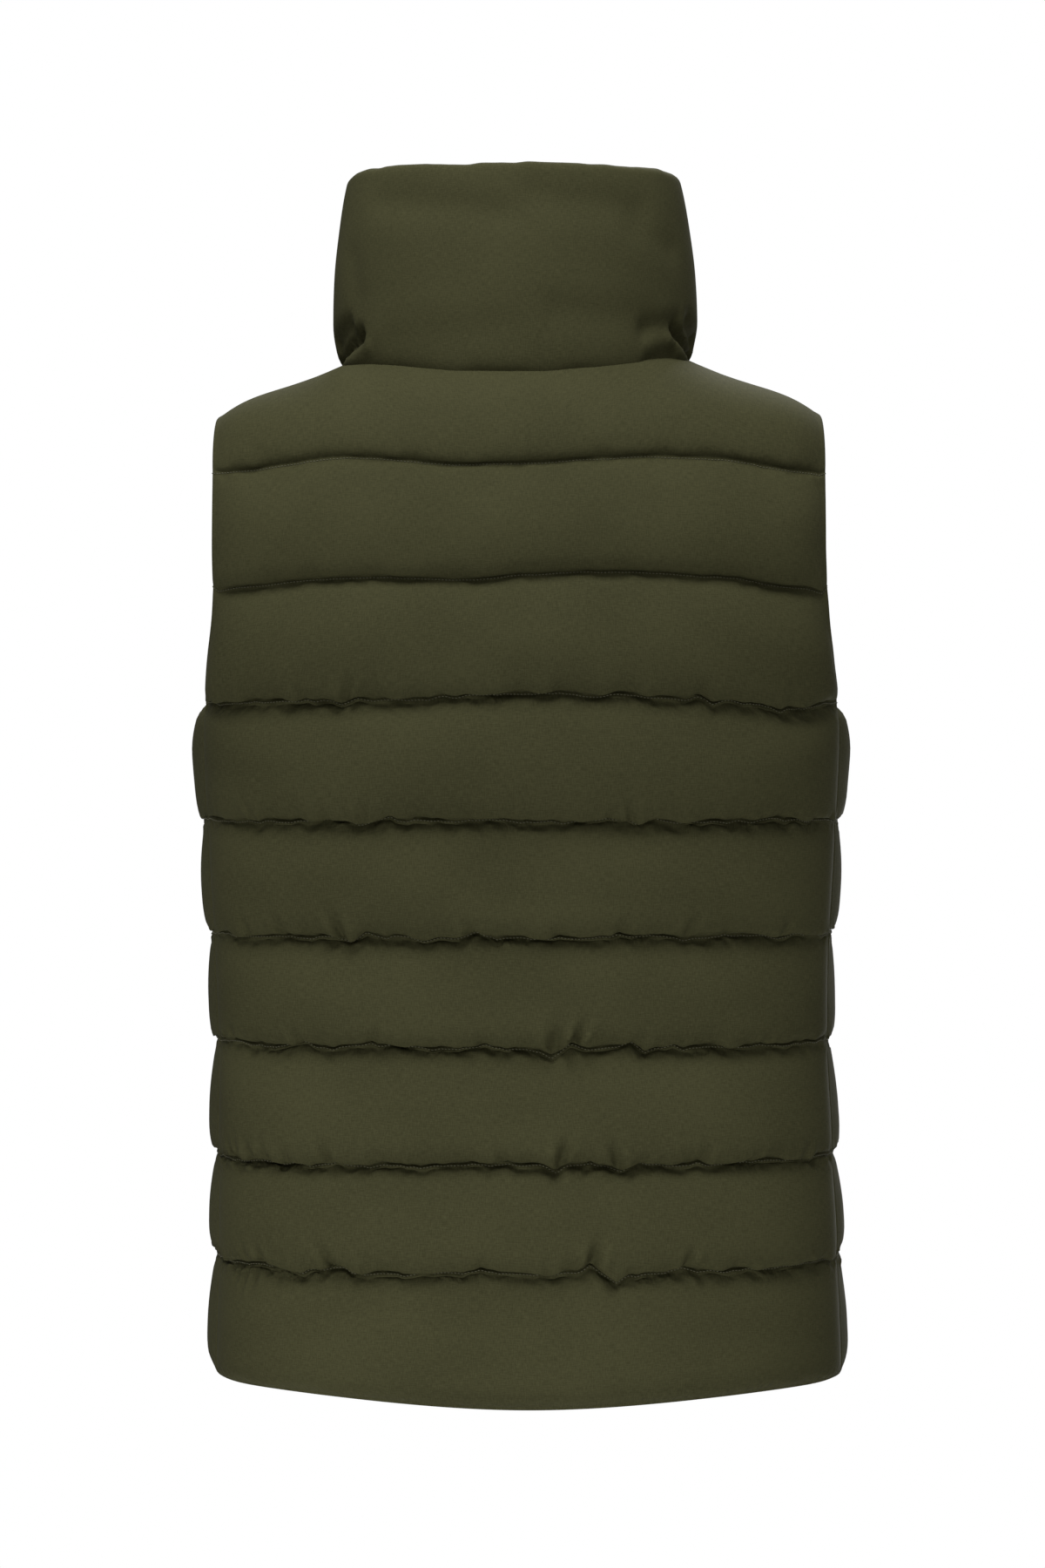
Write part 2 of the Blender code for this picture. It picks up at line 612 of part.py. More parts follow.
def make_chain(finish, collection):
    """The closed teeth as one strip, from the box at the hem to the slider."""
    points, normals = zip_rows((-CHAIN_HALF_WIDTH, CHAIN_HALF_WIDTH))
    slider, _ = collar_front_frame()
    up = unit(points[1] - points[0])
    points[0] = points[0] + up * (BOX_SIZE.z + SEAM_GAP)
    reach = slider.z - SLIDER_SIZE.z / 2 - SEAM_GAP * 2
    below = points[-2]
    share = (reach - below[:, 2:3]) / (points[-1] - below)[:, 2:3]
    points[-1] = below + (points[-1] - below) * share
    outer = points + normals * CHAIN_THICKNESS
    return wall_object("zip_chain", outer, points, finish, collection)


def block(name, size, middle, lean, finish, collection, rounding=0.0):
    """A box with rounded edges, leaning forward about X, in world coordinates."""
    mesh = bmesh.new()
    bmesh.ops.create_cube(mesh, size=1)
    bmesh.ops.scale(mesh, vec=size, verts=mesh.verts)
    if rounding:
        edges = list(mesh.edges)
        bmesh.ops.bevel(
            mesh, geom=edges, offset=rounding, segments=2, profile=0.5, affect="EDGES", material=-1
        )
    turn = Matrix.Rotation(lean, 4, "X")
    bmesh.ops.transform(mesh, matrix=Matrix.Translation(middle) @ turn, verts=mesh.verts)
    return mesh_object(name, mesh, finish, collection)


def combine(target, other, operation, cutters):
    change = target.modifiers.new(other.name, "BOOLEAN")
    change.operation = operation
    change.object = other
    other.hide_render = True
    other.display_type = "WIRE"
    for owner in list(other.users_collection):
        owner.objects.unlink(other)
    cutters.objects.link(other)


def leaning(place, lean, offset):
    """A point given from place as (across, outward, up) on the leaning collar front."""
    return place + Matrix.Rotation(lean, 3, "X") @ Vector((offset[0], -offset[1], offset[2]))


def make_box(finish, collection):
    points, _ = zip_rows((0.0,))
    foot = Vector(points[0, 0])
    middle = foot + Vector((0, -BOX_SIZE.y / 2, BOX_SIZE.z / 2))
    return block("zip_box", BOX_SIZE, middle, 0.0, finish, collection, BOX_ROUNDING)


def make_slider(finish, collection, cutters):
    """The slider's body with its bail, a bridge that runs up and down over the pull's bar."""
    place, lean = collar_front_frame()
    middle = leaning(place, lean, (0, SLIDER_SIZE.y / 2, 0))
    slider = block("zip_slider", SLIDER_SIZE, middle, lean, finish, collection, SLIDER_ROUNDING)
    bail_size = Vector((BAIL_WIDTH, BAIL_RISE + BAIL_SUNK, BAIL_LENGTH))
    middle = leaning(place, lean, (0, SLIDER_SIZE.y + (BAIL_RISE - BAIL_SUNK) / 2, 0))
    bail = block("bail", bail_size, middle, lean, finish, collection, BAIL_ROUNDING)
    opening = BAIL_RISE - BAIL_BAR
    hole_size = Vector((BAIL_WIDTH * 2, opening, BAIL_LENGTH - 2 * BAIL_BAR))
    middle = leaning(place, lean, (0, SLIDER_SIZE.y + opening / 2, 0))
    hole = block("bail_hole", hole_size, middle, lean, finish, collection)
    combine(slider, bail, "UNION", cutters)
    combine(slider, hole, "DIFFERENCE", cutters)
    return slider


def make_pull(finish, collection, cutters):
    """A flat tab hanging on its own bar under the bail, with its origin on the hinge axis."""
    place, lean = collar_front_frame()
    opening = BAIL_RISE - BAIL_BAR
    axis = leaning(place, lean, (0, SLIDER_SIZE.y + opening / 2, 0))
    length = PULL_SIZE.z
    middle = Vector((0, 0, PULL_HALF_BAR - length / 2))
    pull = block("zip_pull", PULL_SIZE, middle, 0.0, finish, collection, PULL_ROUNDING)
    slot_length = PULL_SLOT_END - PULL_HALF_BAR
    slot_size = Vector((2 * PULL_SLOT_HALF_WIDTH, PULL_SIZE.y * 3, slot_length))
    slot_middle = axis - Vector((0, 0, PULL_HALF_BAR + slot_length / 2))
    slot = block("pull_slot", slot_size, slot_middle, 0.0, finish, collection)
    pull.location = axis
    combine(pull, slot, "DIFFERENCE", cutters)
    return pull


def main():
    for item in list(bpy.data.objects):
        bpy.data.objects.remove(item)
    collection = bpy.data.collections.new("puffer_vest")
    cutters = bpy.data.collections.new("cutters")
    for made in (collection, cutters):
        bpy.context.scene.collection.children.link(made)
    finishes = {name: make_finish(name) for name in COLOURS}
    make_back(finishes["shell"], collection)
    make_front("front_left", 1, finishes["shell"], collection)
    make_front("front_right", -1, finishes["shell"], collection)
    make_collar(finishes["shell"], collection)
    make_tape("zip_tape_left", 1, finishes["tape"], collection)
    make_tape("zip_tape_right", -1, finishes["tape"], collection)
    make_chain(finishes["teeth"], collection)
    make_box(finishes["teeth"], collection)
    make_slider(finishes["metal"], collection, cutters)
    make_pull(finishes["metal"], collection, cutters)


main()
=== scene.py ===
"""Dresses the puffer vest: quilted padded panels, a padded collar, stitching and a front zip.

Metres, +Z up. The front faces -Y and the wearer's left is +X. Each padded panel starts from the
plain form of the cut, is blown up by a short cloth simulation between its pinned stitch rows, and
becomes a closed wall with a plain inside. The zip is built from its tapes, teeth and fittings.
"""

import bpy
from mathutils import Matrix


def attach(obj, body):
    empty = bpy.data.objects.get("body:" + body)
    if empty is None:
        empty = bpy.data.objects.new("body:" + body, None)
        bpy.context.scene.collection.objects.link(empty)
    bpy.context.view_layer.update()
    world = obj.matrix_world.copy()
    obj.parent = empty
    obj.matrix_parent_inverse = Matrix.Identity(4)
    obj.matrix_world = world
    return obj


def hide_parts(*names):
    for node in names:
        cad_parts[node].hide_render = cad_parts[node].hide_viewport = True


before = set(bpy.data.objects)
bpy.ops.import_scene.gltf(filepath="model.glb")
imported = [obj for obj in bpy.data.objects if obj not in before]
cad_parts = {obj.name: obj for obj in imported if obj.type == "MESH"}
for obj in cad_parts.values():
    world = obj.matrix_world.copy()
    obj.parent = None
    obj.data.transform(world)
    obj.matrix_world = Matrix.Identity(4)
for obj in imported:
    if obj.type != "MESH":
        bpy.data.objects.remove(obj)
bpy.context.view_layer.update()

import logging
from dataclasses import dataclass, field
from enum import Enum
from functools import cached_property
from math import pi, radians
from typing import Callable, Sequence

import bmesh
import bpy
import numpy as np
from mathutils import Vector

LOG = logging.getLogger("puffer_vest")
Pair = tuple[float, float]
Triple = tuple[float, float, float]

# A padded wall's thickness, the gap kept between pieces, the height of a common channel, and how
# far above its stitch row the cloth starts to swell. The fronts and the collar stop ZIP_EDGE from
# the centre front, and they are thinner for ZIP_TAPER beside it.
WALL = 0.003
SEAM_GAP = 0.0003
CHANNEL = 0.0656
LIP = 0.0015
ZIP_EDGE = 0.0053
ZIP_TAPER = 0.018

# The mesh attribute that tells the shell's material where the cloth is gathered.
GATHERS = "gathers"


# ---- the cut of the vest ------------------------------------------------------------------
class Side(Enum):
    """Which half of the body a panel covers."""

    BACK = 1
    FRONT = -1


class Hand(Enum):
    """The wearer's left or right."""

    LEFT = 1
    RIGHT = -1


@dataclass(frozen=True)
class Section:
    """A level section of the body: half width, hang to the left, depths, edges and their turn."""

    level: float
    half_width: float
    shift: float
    back: float
    back_edge: float
    back_turn: float
    front: float
    front_edge: float
    front_turn: float


SECTIONS = (
    Section(-0.6125, 0.1840, -0.0060, 0.113, 0.032, 12, 0.113, 0.032, -12),
    Section(-0.534, 0.1820, -0.0055, 0.110, 0.032, 12, 0.111, 0.032, -12),
    Section(-0.473, 0.1805, -0.0040, 0.103, 0.032, 12, 0.106, 0.032, -12),
    Section(-0.405, 0.1790, -0.0025, 0.095, 0.032, 12, 0.104, 0.032, -12),
    Section(-0.341, 0.1810, -0.0015, 0.096, 0.032, 12, 0.110, 0.032, -12),
    Section(-0.273, 0.1850, -0.0015, 0.104, 0.032, 12, 0.120, 0.032, -12),
    Section(-0.231, 0.1865, -0.0015, 0.109, 0.032, 12, 0.124, 0.032, -12),
    Section(-0.215, 0.1865, -0.0015, 0.111, 0.032, 12, 0.125, 0.032, -10),
    Section(-0.200, 0.1855, -0.0015, 0.112, 0.044, 20, 0.124, 0.012, 6),
    Section(-0.180, 0.1830, -0.0010, 0.112, 0.055, 30, 0.121, -0.014, 22),
    Section(-0.150, 0.1800, -0.0010, 0.111, 0.065, 40, 0.116, -0.036, 38),
    Section(-0.110, 0.1790, 0.0000, 0.107, 0.070, 50, 0.107, -0.050, 50),
    Section(-0.069, 0.1800, 0.0000, 0.098, 0.060, 52, 0.091, -0.044, 52),
)


@dataclass(frozen=True)
class StitchRow:
    """A level stitch row: its level, how far the channel above it swells, and its gathering."""

    level: float
    puff: float
    gather: float


STITCH_ROWS = (
    StitchRow(-0.6125, 0.0095, 1.03),
    StitchRow(-0.534, 0.0100, 1.06),
    StitchRow(-0.473, 0.0105, 1.06),
    StitchRow(-0.405, 0.0100, 1.055),
    StitchRow(-0.341, 0.0105, 1.05),
    StitchRow(-0.273, 0.0110, 1.045),
    StitchRow(-0.203, 0.0105, 1.04),
    StitchRow(-0.135, 0.0100, 1.015),
    StitchRow(-0.069, 0.0075, 1.01),
)
YOKE = len(STITCH_ROWS) - 1


@dataclass(frozen=True)
class Pinch:
    """A fold pinched beside a stitch row, and the kink it puts in the row.

    row counts from the hem, across is metres to the left and width the fold's half width. reach
    is how far the fold runs, in metres, up for a positive reach and down for a negative one.
    lean is how far sideways it runs for each metre, depth the share of the padding it presses
    out, and drop how far the row dips there.
    """

    row: int
    across: float
    width: float
    reach: float
    depth: float
    drop: float
    lean: float = 0.0


BACK_PINCHES = (
    Pinch(1, 0.176, 0.0022, -0.010, 0.55, 0.0000, 0.7),
    Pinch(1, 0.169, 0.0020, -0.014, 0.65, 0.0004, 0.6),
    Pinch(1, 0.162, 0.0024, -0.012, 0.60, 0.0000, 0.5),
    Pinch(1, 0.166, 0.0022, 0.008, 0.60, 0.0000, 0.5),
    Pinch(1, 0.154, 0.0022, 0.009, 0.70, 0.0006, 0.6),
    Pinch(1, 0.146, 0.0026, -0.010, 0.55, -0.0010, 0.3),
    Pinch(1, 0.131, 0.0022, 0.006, 0.50, 0.0012, 0.5),
    Pinch(1, 0.108, 0.0026, 0.013, 0.80, -0.0010, 1.2),
    Pinch(1, 0.101, 0.0020, -0.006, 0.60, 0.0010, -0.8),
    Pinch(1, 0.095, 0.0024, 0.008, 0.65, 0.0012, -0.7),
    Pinch(1, 0.072, 0.0030, 0.006, 0.40, 0.0010, 0.4),
    Pinch(1, 0.028, 0.0024, 0.007, 0.50, -0.0008, -0.6),
    Pinch(1, -0.014, 0.0026, 0.008, 0.60, 0.0008, 0.7),
    Pinch(1, -0.035, 0.0032, 0.017, 0.85, -0.0030, -0.5),
    Pinch(1, -0.050, 0.0026, -0.007, 0.60, 0.0028, 0.8),
    Pinch(1, -0.062, 0.0022, 0.006, 0.50, 0.0012, 0.5),
    Pinch(1, -0.088, 0.0024, 0.011, 0.70, -0.0010, -0.7),
    Pinch(1, -0.098, 0.0020, -0.006, 0.50, 0.0008, -0.5),
    Pinch(1, -0.128, 0.0024, 0.006, 0.50, -0.0006, -0.4),
    Pinch(2, 0.178, 0.0022, 0.009, 0.60, 0.0000, 0.4),
    Pinch(2, 0.171, 0.0022, 0.010, 0.60, 0.0004, 0.5),
    Pinch(2, 0.162, 0.0024, 0.009, 0.60, -0.0004, 0.4),
    Pinch(2, 0.150, 0.0022, 0.007, 0.55, 0.0006, 0.5),
    Pinch(2, 0.135, 0.0022, 0.007, 0.60, -0.0010, 0.9),
    Pinch(2, 0.124, 0.0020, -0.005, 0.50, 0.0008, 0.8),
    Pinch(2, 0.109, 0.0026, 0.010, 0.70, -0.0012, 1.1),
    Pinch(2, 0.090, 0.0022, 0.006, 0.45, 0.0006, -0.6),
    Pinch(2, 0.010, 0.0026, 0.008, 0.55, -0.0008, 0.8),
    Pinch(2, -0.018, 0.0030, 0.012, 0.80, 0.0028, -0.7),
    Pinch(2, -0.037, 0.0026, -0.007, 0.60, -0.0018, 0.8),
    Pinch(2, -0.055, 0.0030, 0.011, 0.70, 0.0026, 0.7),
    Pinch(2, -0.066, 0.0022, 0.006, 0.50, -0.0008, -0.6),
    Pinch(2, -0.100, 0.0024, 0.008, 0.60, -0.0010, -0.8),
    Pinch(2, -0.132, 0.0022, 0.006, 0.50, 0.0008, -0.5),
    Pinch(2, -0.165, 0.0024, 0.008, 0.60, -0.0006, -0.5),
    Pinch(3, 0.174, 0.0024, 0.009, 0.60, 0.0000, 0.5),
    Pinch(3, 0.160, 0.0022, -0.007, 0.50, 0.0006, 0.5),
    Pinch(3, 0.126, 0.0024, 0.009, 0.65, -0.0010, 1.0),
    Pinch(3, 0.110, 0.0024, -0.006, 0.55, 0.0012, 0.8),
    Pinch(3, 0.088, 0.0022, 0.008, 0.60, -0.0010, -0.8),
    Pinch(3, 0.052, 0.0026, 0.006, 0.45, 0.0006, 0.6),
    Pinch(3, 0.022, 0.0022, 0.007, 0.50, -0.0010, 0.7),
    Pinch(3, 0.009, 0.0020, -0.005, 0.45, 0.0008, -0.6),
    Pinch(3, -0.016, 0.0038, 0.012, 0.85, 0.0040, -0.6),
    Pinch(3, -0.027, 0.0026, 0.014, 0.80, -0.0016, -0.9),
    Pinch(3, -0.062, 0.0028, 0.008, 0.65, -0.0020, -1.3),
    Pinch(3, -0.070, 0.0022, -0.006, 0.60, 0.0022, 0.9),
    Pinch(3, -0.086, 0.0026, -0.006, 0.60, -0.0016, -0.9),
    Pinch(3, -0.093, 0.0024, 0.006, 0.50, 0.0012, 0.7),
    Pinch(3, -0.140, 0.0022, 0.007, 0.50, -0.0006, -0.6),
    Pinch(3, -0.168, 0.0024, -0.008, 0.60, 0.0006, -0.5),
    Pinch(4, 0.158, 0.0022, 0.009, 0.60, 0.0004, 0.8),
    Pinch(4, 0.136, 0.0024, 0.009, 0.65, -0.0008, 0.9),
    Pinch(4, 0.122, 0.0022, 0.007, 0.50, 0.0008, 0.7),
    Pinch(4, 0.099, 0.0030, 0.012, 0.80, 0.0020, 1.1),
    Pinch(4, 0.090, 0.0022, -0.006, 0.60, -0.0014, 0.9),
    Pinch(4, 0.078, 0.0024, -0.006, 0.50, 0.0012, -0.9),
    Pinch(4, 0.056, 0.0022, 0.006, 0.45, 0.0008, 0.6),
    Pinch(4, 0.026, 0.0028, 0.008, 0.65, -0.0016, 0.8),
    Pinch(4, 0.014, 0.0024, -0.006, 0.55, 0.0016, -0.7),
    Pinch(4, -0.022, 0.0022, 0.006, 0.45, -0.0006, 0.6),
    Pinch(4, -0.055, 0.0026, 0.008, 0.60, -0.0010, -0.8),
    Pinch(4, -0.093, 0.0026, 0.009, 0.65, 0.0012, -0.9),
    Pinch(4, -0.118, 0.0022, -0.006, 0.50, -0.0008, -0.7),
    Pinch(4, -0.152, 0.0024, 0.008, 0.55, 0.0006, -0.6),
    Pinch(5, 0.155, 0.0024, 0.008, 0.60, 0.0008, 0.8),
    Pinch(5, 0.111, 0.0024, 0.007, 0.55, -0.0008, 0.8),
    Pinch(5, 0.094, 0.0026, 0.009, 0.65, 0.0014, -0.9),
    Pinch(5, 0.076, 0.0022, -0.006, 0.50, -0.0010, 0.8),
    Pinch(5, -0.024, 0.0022, 0.005, 0.40, 0.0005, 0.5),
    Pinch(5, -0.050, 0.0026, 0.007, 0.55, -0.0010, -0.8),
    Pinch(5, -0.066, 0.0026, 0.009, 0.60, 0.0012, 0.8),
    Pinch(5, -0.077, 0.0022, -0.005, 0.45, -0.0008, -0.8),
    Pinch(5, -0.120, 0.0022, 0.006, 0.45, 0.0004, -0.5),
    Pinch(6, 0.160, 0.0022, 0.006, 0.50, 0.0004, 0.6),
    Pinch(6, 0.124, 0.0024, 0.007, 0.55, -0.0008, 0.8),
    Pinch(6, 0.103, 0.0026, 0.010, 0.65, 0.0014, -0.9),
    Pinch(6, 0.094, 0.0022, -0.006, 0.50, -0.0010, 0.9),
    Pinch(6, 0.053, 0.0022, 0.006, 0.50, 0.0006, 0.7),
    Pinch(6, -0.023, 0.0022, 0.005, 0.40, -0.0006, 0.7),
    Pinch(6, -0.101, 0.0030, 0.007, 0.60, -0.0018, -0.9),
    Pinch(6, -0.110, 0.0022, -0.005, 0.50, 0.0012, -0.7),
    Pinch(6, -0.153, 0.0030, -0.008, 0.60, 0.0014, -1.2),
)

BEND_PLACES = (-0.190, -0.165, -0.112, -0.076, -0.042, -0.007, 0.028, 0.098, 0.165, 0.190)
BACK_BENDS = {
    8: (0.002, 0.0005, -0.0050, -0.0062, -0.0045, -0.0015, -0.0010, -0.0055, 0.0000, 0.001),
    7: (0.006, 0.0028, -0.0024, -0.0042, -0.0048, -0.0030, -0.0005, -0.0018, 0.0020, 0.004),
    6: (0.000, 0.0040, 0.0010, -0.0020, -0.0020, -0.0030, -0.0015, 0.0010, 0.0010, 0.000),
}


@dataclass(frozen=True)
class FrontPinches:
    """The fronts' folds: like the back's, fewer, and spaced by a fixed uneven step.

    Nine kinds of fold take turns. A higher kind lies further out, reaches further and presses
    deeper; its dip and its lean follow from the kind too.
    """

    rows: int = 6
    places: int = 8
    kinds: int = 9
    first: float = 0.018
    spacing: float = 0.021
    further: float = 0.0022
    width: float = 0.0026
    reach: float = 0.006
    more_reach: float = 0.0008
    depth: float = 0.40
    deeper: float = 0.04
    drop: float = 0.0004
    lean: float = 0.3

    def uneven(self, kind: int, turn: int) -> int:
        """A whole number from -3 to 3 that jumps about from kind to kind."""
        return kind * turn % 7 - 3

    def pinch(self, row: int, place: int, hand: Hand) -> Pinch:
        """One fold, by its stitch row and its place counted from the zip."""
        turn = 7 * row + 5 * place + (3 if hand is Hand.LEFT else 0)
        kind = turn % self.kinds
        across = hand.value * (self.first + self.spacing * place + self.further * kind)
        reach = (self.reach + self.more_reach * kind) * (-1 if kind % 3 == 1 else 1)
        depth = self.depth + self.deeper * kind
        drop, lean = self.drop * self.uneven(kind, 4), self.lean * self.uneven(kind, 5)
        return Pinch(row, across, self.width, reach, depth, drop, lean)

    def build(self) -> tuple[Pinch, ...]:
        """The folds of both fronts; across is negative on the right front."""
        return tuple(
            self.pinch(row, place, hand)
            for row in range(1, self.rows + 1)
            for place in range(self.places)
            for hand in Hand
        )


def eased(share: np.ndarray) -> np.ndarray:
    """A share from 0 to 1 with a soft start and end."""
    return share * share * (3 - 2 * share)


def bell(distance: np.ndarray, width: float = 1.0, power: float = 2.0) -> np.ndarray:
    """A hump of height 1 at no distance; a higher power makes its top flatter."""
    return np.exp(-(np.abs(distance / width) ** power))


def beside(distance: np.ndarray, core: float, reach: float) -> np.ndarray:
    """A hump on both sides of a line: none on it and none far away."""
    return bell(distance, reach) * (1 - bell(distance, core))


def wandering(across: np.ndarray, seed: int, spacing: float) -> np.ndarray:
    """A smooth uneven curve between -1 and 1 that is the same each time.

    Args:
        across: Where to read it, in metres.
        seed: Which of the curves it is.
        spacing: Distance between its turns.

    Returns:
        The curve's value at each place.
    """
    count = 512
    heights = np.random.default_rng(seed).uniform(-1, 1, count)
    at = across / spacing + count / 2
    place = np.floor(at).astype(int)
    share = eased(at - place)
    return heights[place % count] * (1 - share) + heights[(place + 1) % count] * share


def monotone(value: np.ndarray, knots: np.ndarray, heights: np.ndarray) -> np.ndarray:
    """Reads a smooth curve through knots that never overshoots.

    Args:
        value: Where to read it.
        knots: Increasing places of the knots.
        heights: The curve's value at each knot.

    Returns:
        The curve's value at each place.
    """
    value = np.clip(value, knots[0], knots[-1])
    rates = np.diff(heights) / np.diff(knots)
    product = rates[:-1] * rates[1:]
    total = np.where(product > 0, rates[:-1] + rates[1:], 1)
    slopes = np.concatenate((rates[:1], np.where(product > 0, 2 * product / total, 0), rates[-1:]))
    place = np.clip(np.searchsorted(knots, value) - 1, 0, len(knots) - 2)
    width = knots[place + 1] - knots[place]
    t = (value - knots[place]) / width
    return (
        (1 + 2 * t) * (1 - t) ** 2 * heights[place]
        + t * (1 - t) ** 2 * width * slopes[place]
        + t * t * (3 - 2 * t) * heights[place + 1]
        + t * t * (t - 1) * width * slopes[place + 1]
    )


def column(rows: Sequence[object], name: str) -> np.ndarray:
    """One named column of a table of dataclasses."""
    return np.array([getattr(row, name) for row in rows], dtype=float)


def read_table(rows: Sequence[object], key: str, name: str, at: float) -> float:
    """A named column of a table, read smoothly at a value of its key column."""
    return float(monotone(np.array([at]), column(rows, key), column(rows, name))[0])


def unit(vectors: np.ndarray) -> np.ndarray:
    """The vectors at length one."""
    return vectors / np.maximum(np.linalg.norm(vectors, axis=-1, keepdims=True), 1e-12)


def distance_along(points: np.ndarray) -> np.ndarray:
    """How far along a line of points each of them lies."""
    return np.append(0, np.cumsum(np.linalg.norm(np.diff(points, axis=0), axis=1)))


@dataclass(frozen=True)
class VestForm:
    """The plain worn form of the vest, which every piece is laid on.

    A panel's points are named by a fraction of its half girth, negative to the wearer's right,
    and a height that counts stitch rows from the hem; the top edge is at YOKE + 1.
    """

    fullness: float = 0.62
    samples: int = 65
    hem_lift: float = 0.0072
    hem_lift_share: float = 0.78
    yoke_lift: float = 0.55
    yoke_edge_lift: float = 0.92
    shoulder_blend: float = 0.2
    neck_half_width: float = 0.096
    neck_shift: float = 0.0020
    neck_side_level: float = 0.0045
    neck_tilt: float = 0.0015
    back_neck: Pair = (0.066, -0.007)
    front_neck: Pair = (-0.080, -0.052)
    shoulder_tip: Triple = (0.1825, 0.0, -0.0322)
    shoulder_tilt: float = 0.0010
    row_levels: np.ndarray = field(default_factory=lambda: column(STITCH_ROWS, "level"))

    def body(self, name: str, level: float) -> float:
        """A section's named value at a level."""
        return read_table(SECTIONS, "level", name, level)

    def half_section(self, side: Side, level: float) -> tuple[np.ndarray, np.ndarray]:
        """Samples of a level section from the centre line to the left edge.

        Args:
            side: Back or front.
            level: Height in metres.

        Returns:
            The samples as (across, deep), and their distance along the section.
        """
        name = side.name.lower()
        half_width = self.body("half_width", level)
        turn = radians(self.body(name + "_turn", level))
        depth = side.value * self.body(name, level)
        edge = self.body(name + "_edge", level)
        handle = self.fullness * abs(depth - edge)
        start = np.array((0.0, depth))
        start_handle = np.array((self.fullness * half_width, depth))
        end = np.array((half_width, edge))
        end_handle = end + handle * np.array((-np.sin(turn), side.value * np.cos(turn)))
        t = np.linspace(0, 1, self.samples)[:, None]
        curve = (
            (1 - t) ** 3 * start
            + 3 * t * (1 - t) ** 2 * start_handle
            + 3 * t * t * (1 - t) * end_handle
            + t**3 * end
        )
        return curve, distance_along(curve)

    def half_length(self, side: Side, height: float) -> float:
        """Half the girth of a panel at a height in stitch rows."""
        level = float(np.interp(min(height, YOKE), np.arange(YOKE + 1), self.row_levels))
        return float(self.half_section(side, level)[1][-1])

    def section_points(self, side: Side, level: float, fractions: np.ndarray) -> np.ndarray:
        """Points on a level section at fractions of its half girth."""
        curve, lengths = self.half_section(side, level)
        at = np.abs(fractions) * lengths[-1]
        hang = np.abs(fractions) if side is Side.FRONT else np.ones_like(fractions)
        across = np.sign(fractions) * np.interp(at, lengths, curve[:, 0])
        across = across + self.body("shift", level) * hang
        deep = np.interp(at, lengths, curve[:, 1])
        return np.stack((across, deep, np.full_like(across, level)), axis=-1)

    def neck_point(self, angle: np.ndarray) -> np.ndarray:
        """The neck seam; the angle is 0 at the centre back and pi at the centre front."""
        at_back = np.abs(angle) < pi / 2
        depth = np.where(at_back, self.back_neck[0], -self.front_neck[0])
        level = np.where(at_back, self.back_neck[1], self.front_neck[1])
        rise = (level - self.neck_side_level) * np.cos(angle) ** 2
        across = self.neck_half_width * np.sin(angle) + self.neck_shift
        height = self.neck_side_level + rise - self.neck_tilt * np.sin(angle)
        return np.stack((across, depth * np.cos(angle), height), axis=-1)

    def neck_share(self, side: Side) -> float:
        """The part of a panel's top edge that lies in the neck seam."""
        start = 0.0 if side is Side.BACK else pi / 2
        quarter = np.linspace(0, pi / 2, self.samples) + start
        neck = distance_along(self.neck_point(quarter))[-1]
        corner = (self.neck_half_width, 0, self.neck_side_level)
        shoulder = np.linalg.norm(np.subtract(self.shoulder_tip, corner))
        return float(neck / (neck + shoulder))

    def top_points(self, side: Side, fractions: np.ndarray) -> np.ndarray:
        """Points along a panel's top edge: the neck seam, then the shoulder seam."""
        share = self.neck_share(side)
        sign = np.where(fractions < 0, -1.0, 1.0)
        along_neck = np.clip(np.abs(fractions) / share, 0, 1) * pi / 2
        angle = sign * (along_neck if side is Side.BACK else pi - along_neck)
        at_side = np.abs(np.abs(angle) - pi / 2) < 1e-9
        neck = self.neck_point(np.where(at_side, sign * pi / 2, angle))
        out = np.clip((np.abs(fractions) - share) / (1 - share), 0, 1)[:, None]
        across, deep, level = self.shoulder_tip
        tip = np.stack(
            (sign * across, np.full_like(sign, deep), level - self.shoulder_tilt * sign), axis=-1
        )
        return neck + out * (tip - neck) * (out > 0)

    def row(self, side: Side, fractions: np.ndarray, height: float) -> np.ndarray:
        """One row of the plain form at a height in stitch rows."""
        if height <= YOKE:
            level = float(np.interp(height, np.arange(YOKE + 1), self.row_levels))
            points = self.section_points(side, level, fractions)
            out = np.clip(np.abs(fractions) / self.hem_lift_share, 0, 1)
            points[:, 2] += self.hem_lift * eased(out) * max(1 - height, 0)
            return points
        share = height - YOKE
        top_level = float(self.row_levels[-1])
        step = 0.004
        start = self.section_points(side, top_level, fractions)
        rise = (start - self.section_points(side, top_level - step, fractions)) / step
        end = self.top_points(side, fractions)
        spread = self.yoke_edge_lift - self.yoke_lift
        lift = self.yoke_lift + spread * np.abs(fractions[:, None]) ** 3
        bend = start + rise * lift * (end - start)[:, 2:3]
        return (1 - share) ** 2 * start + 2 * share * (1 - share) * bend + share**2 * end

    def skin(self, side: Side, fractions: np.ndarray, heights: np.ndarray) -> np.ndarray:
        """The plain form as rows of points."""
        return np.stack([self.row(side, fractions, float(height)) for height in heights])

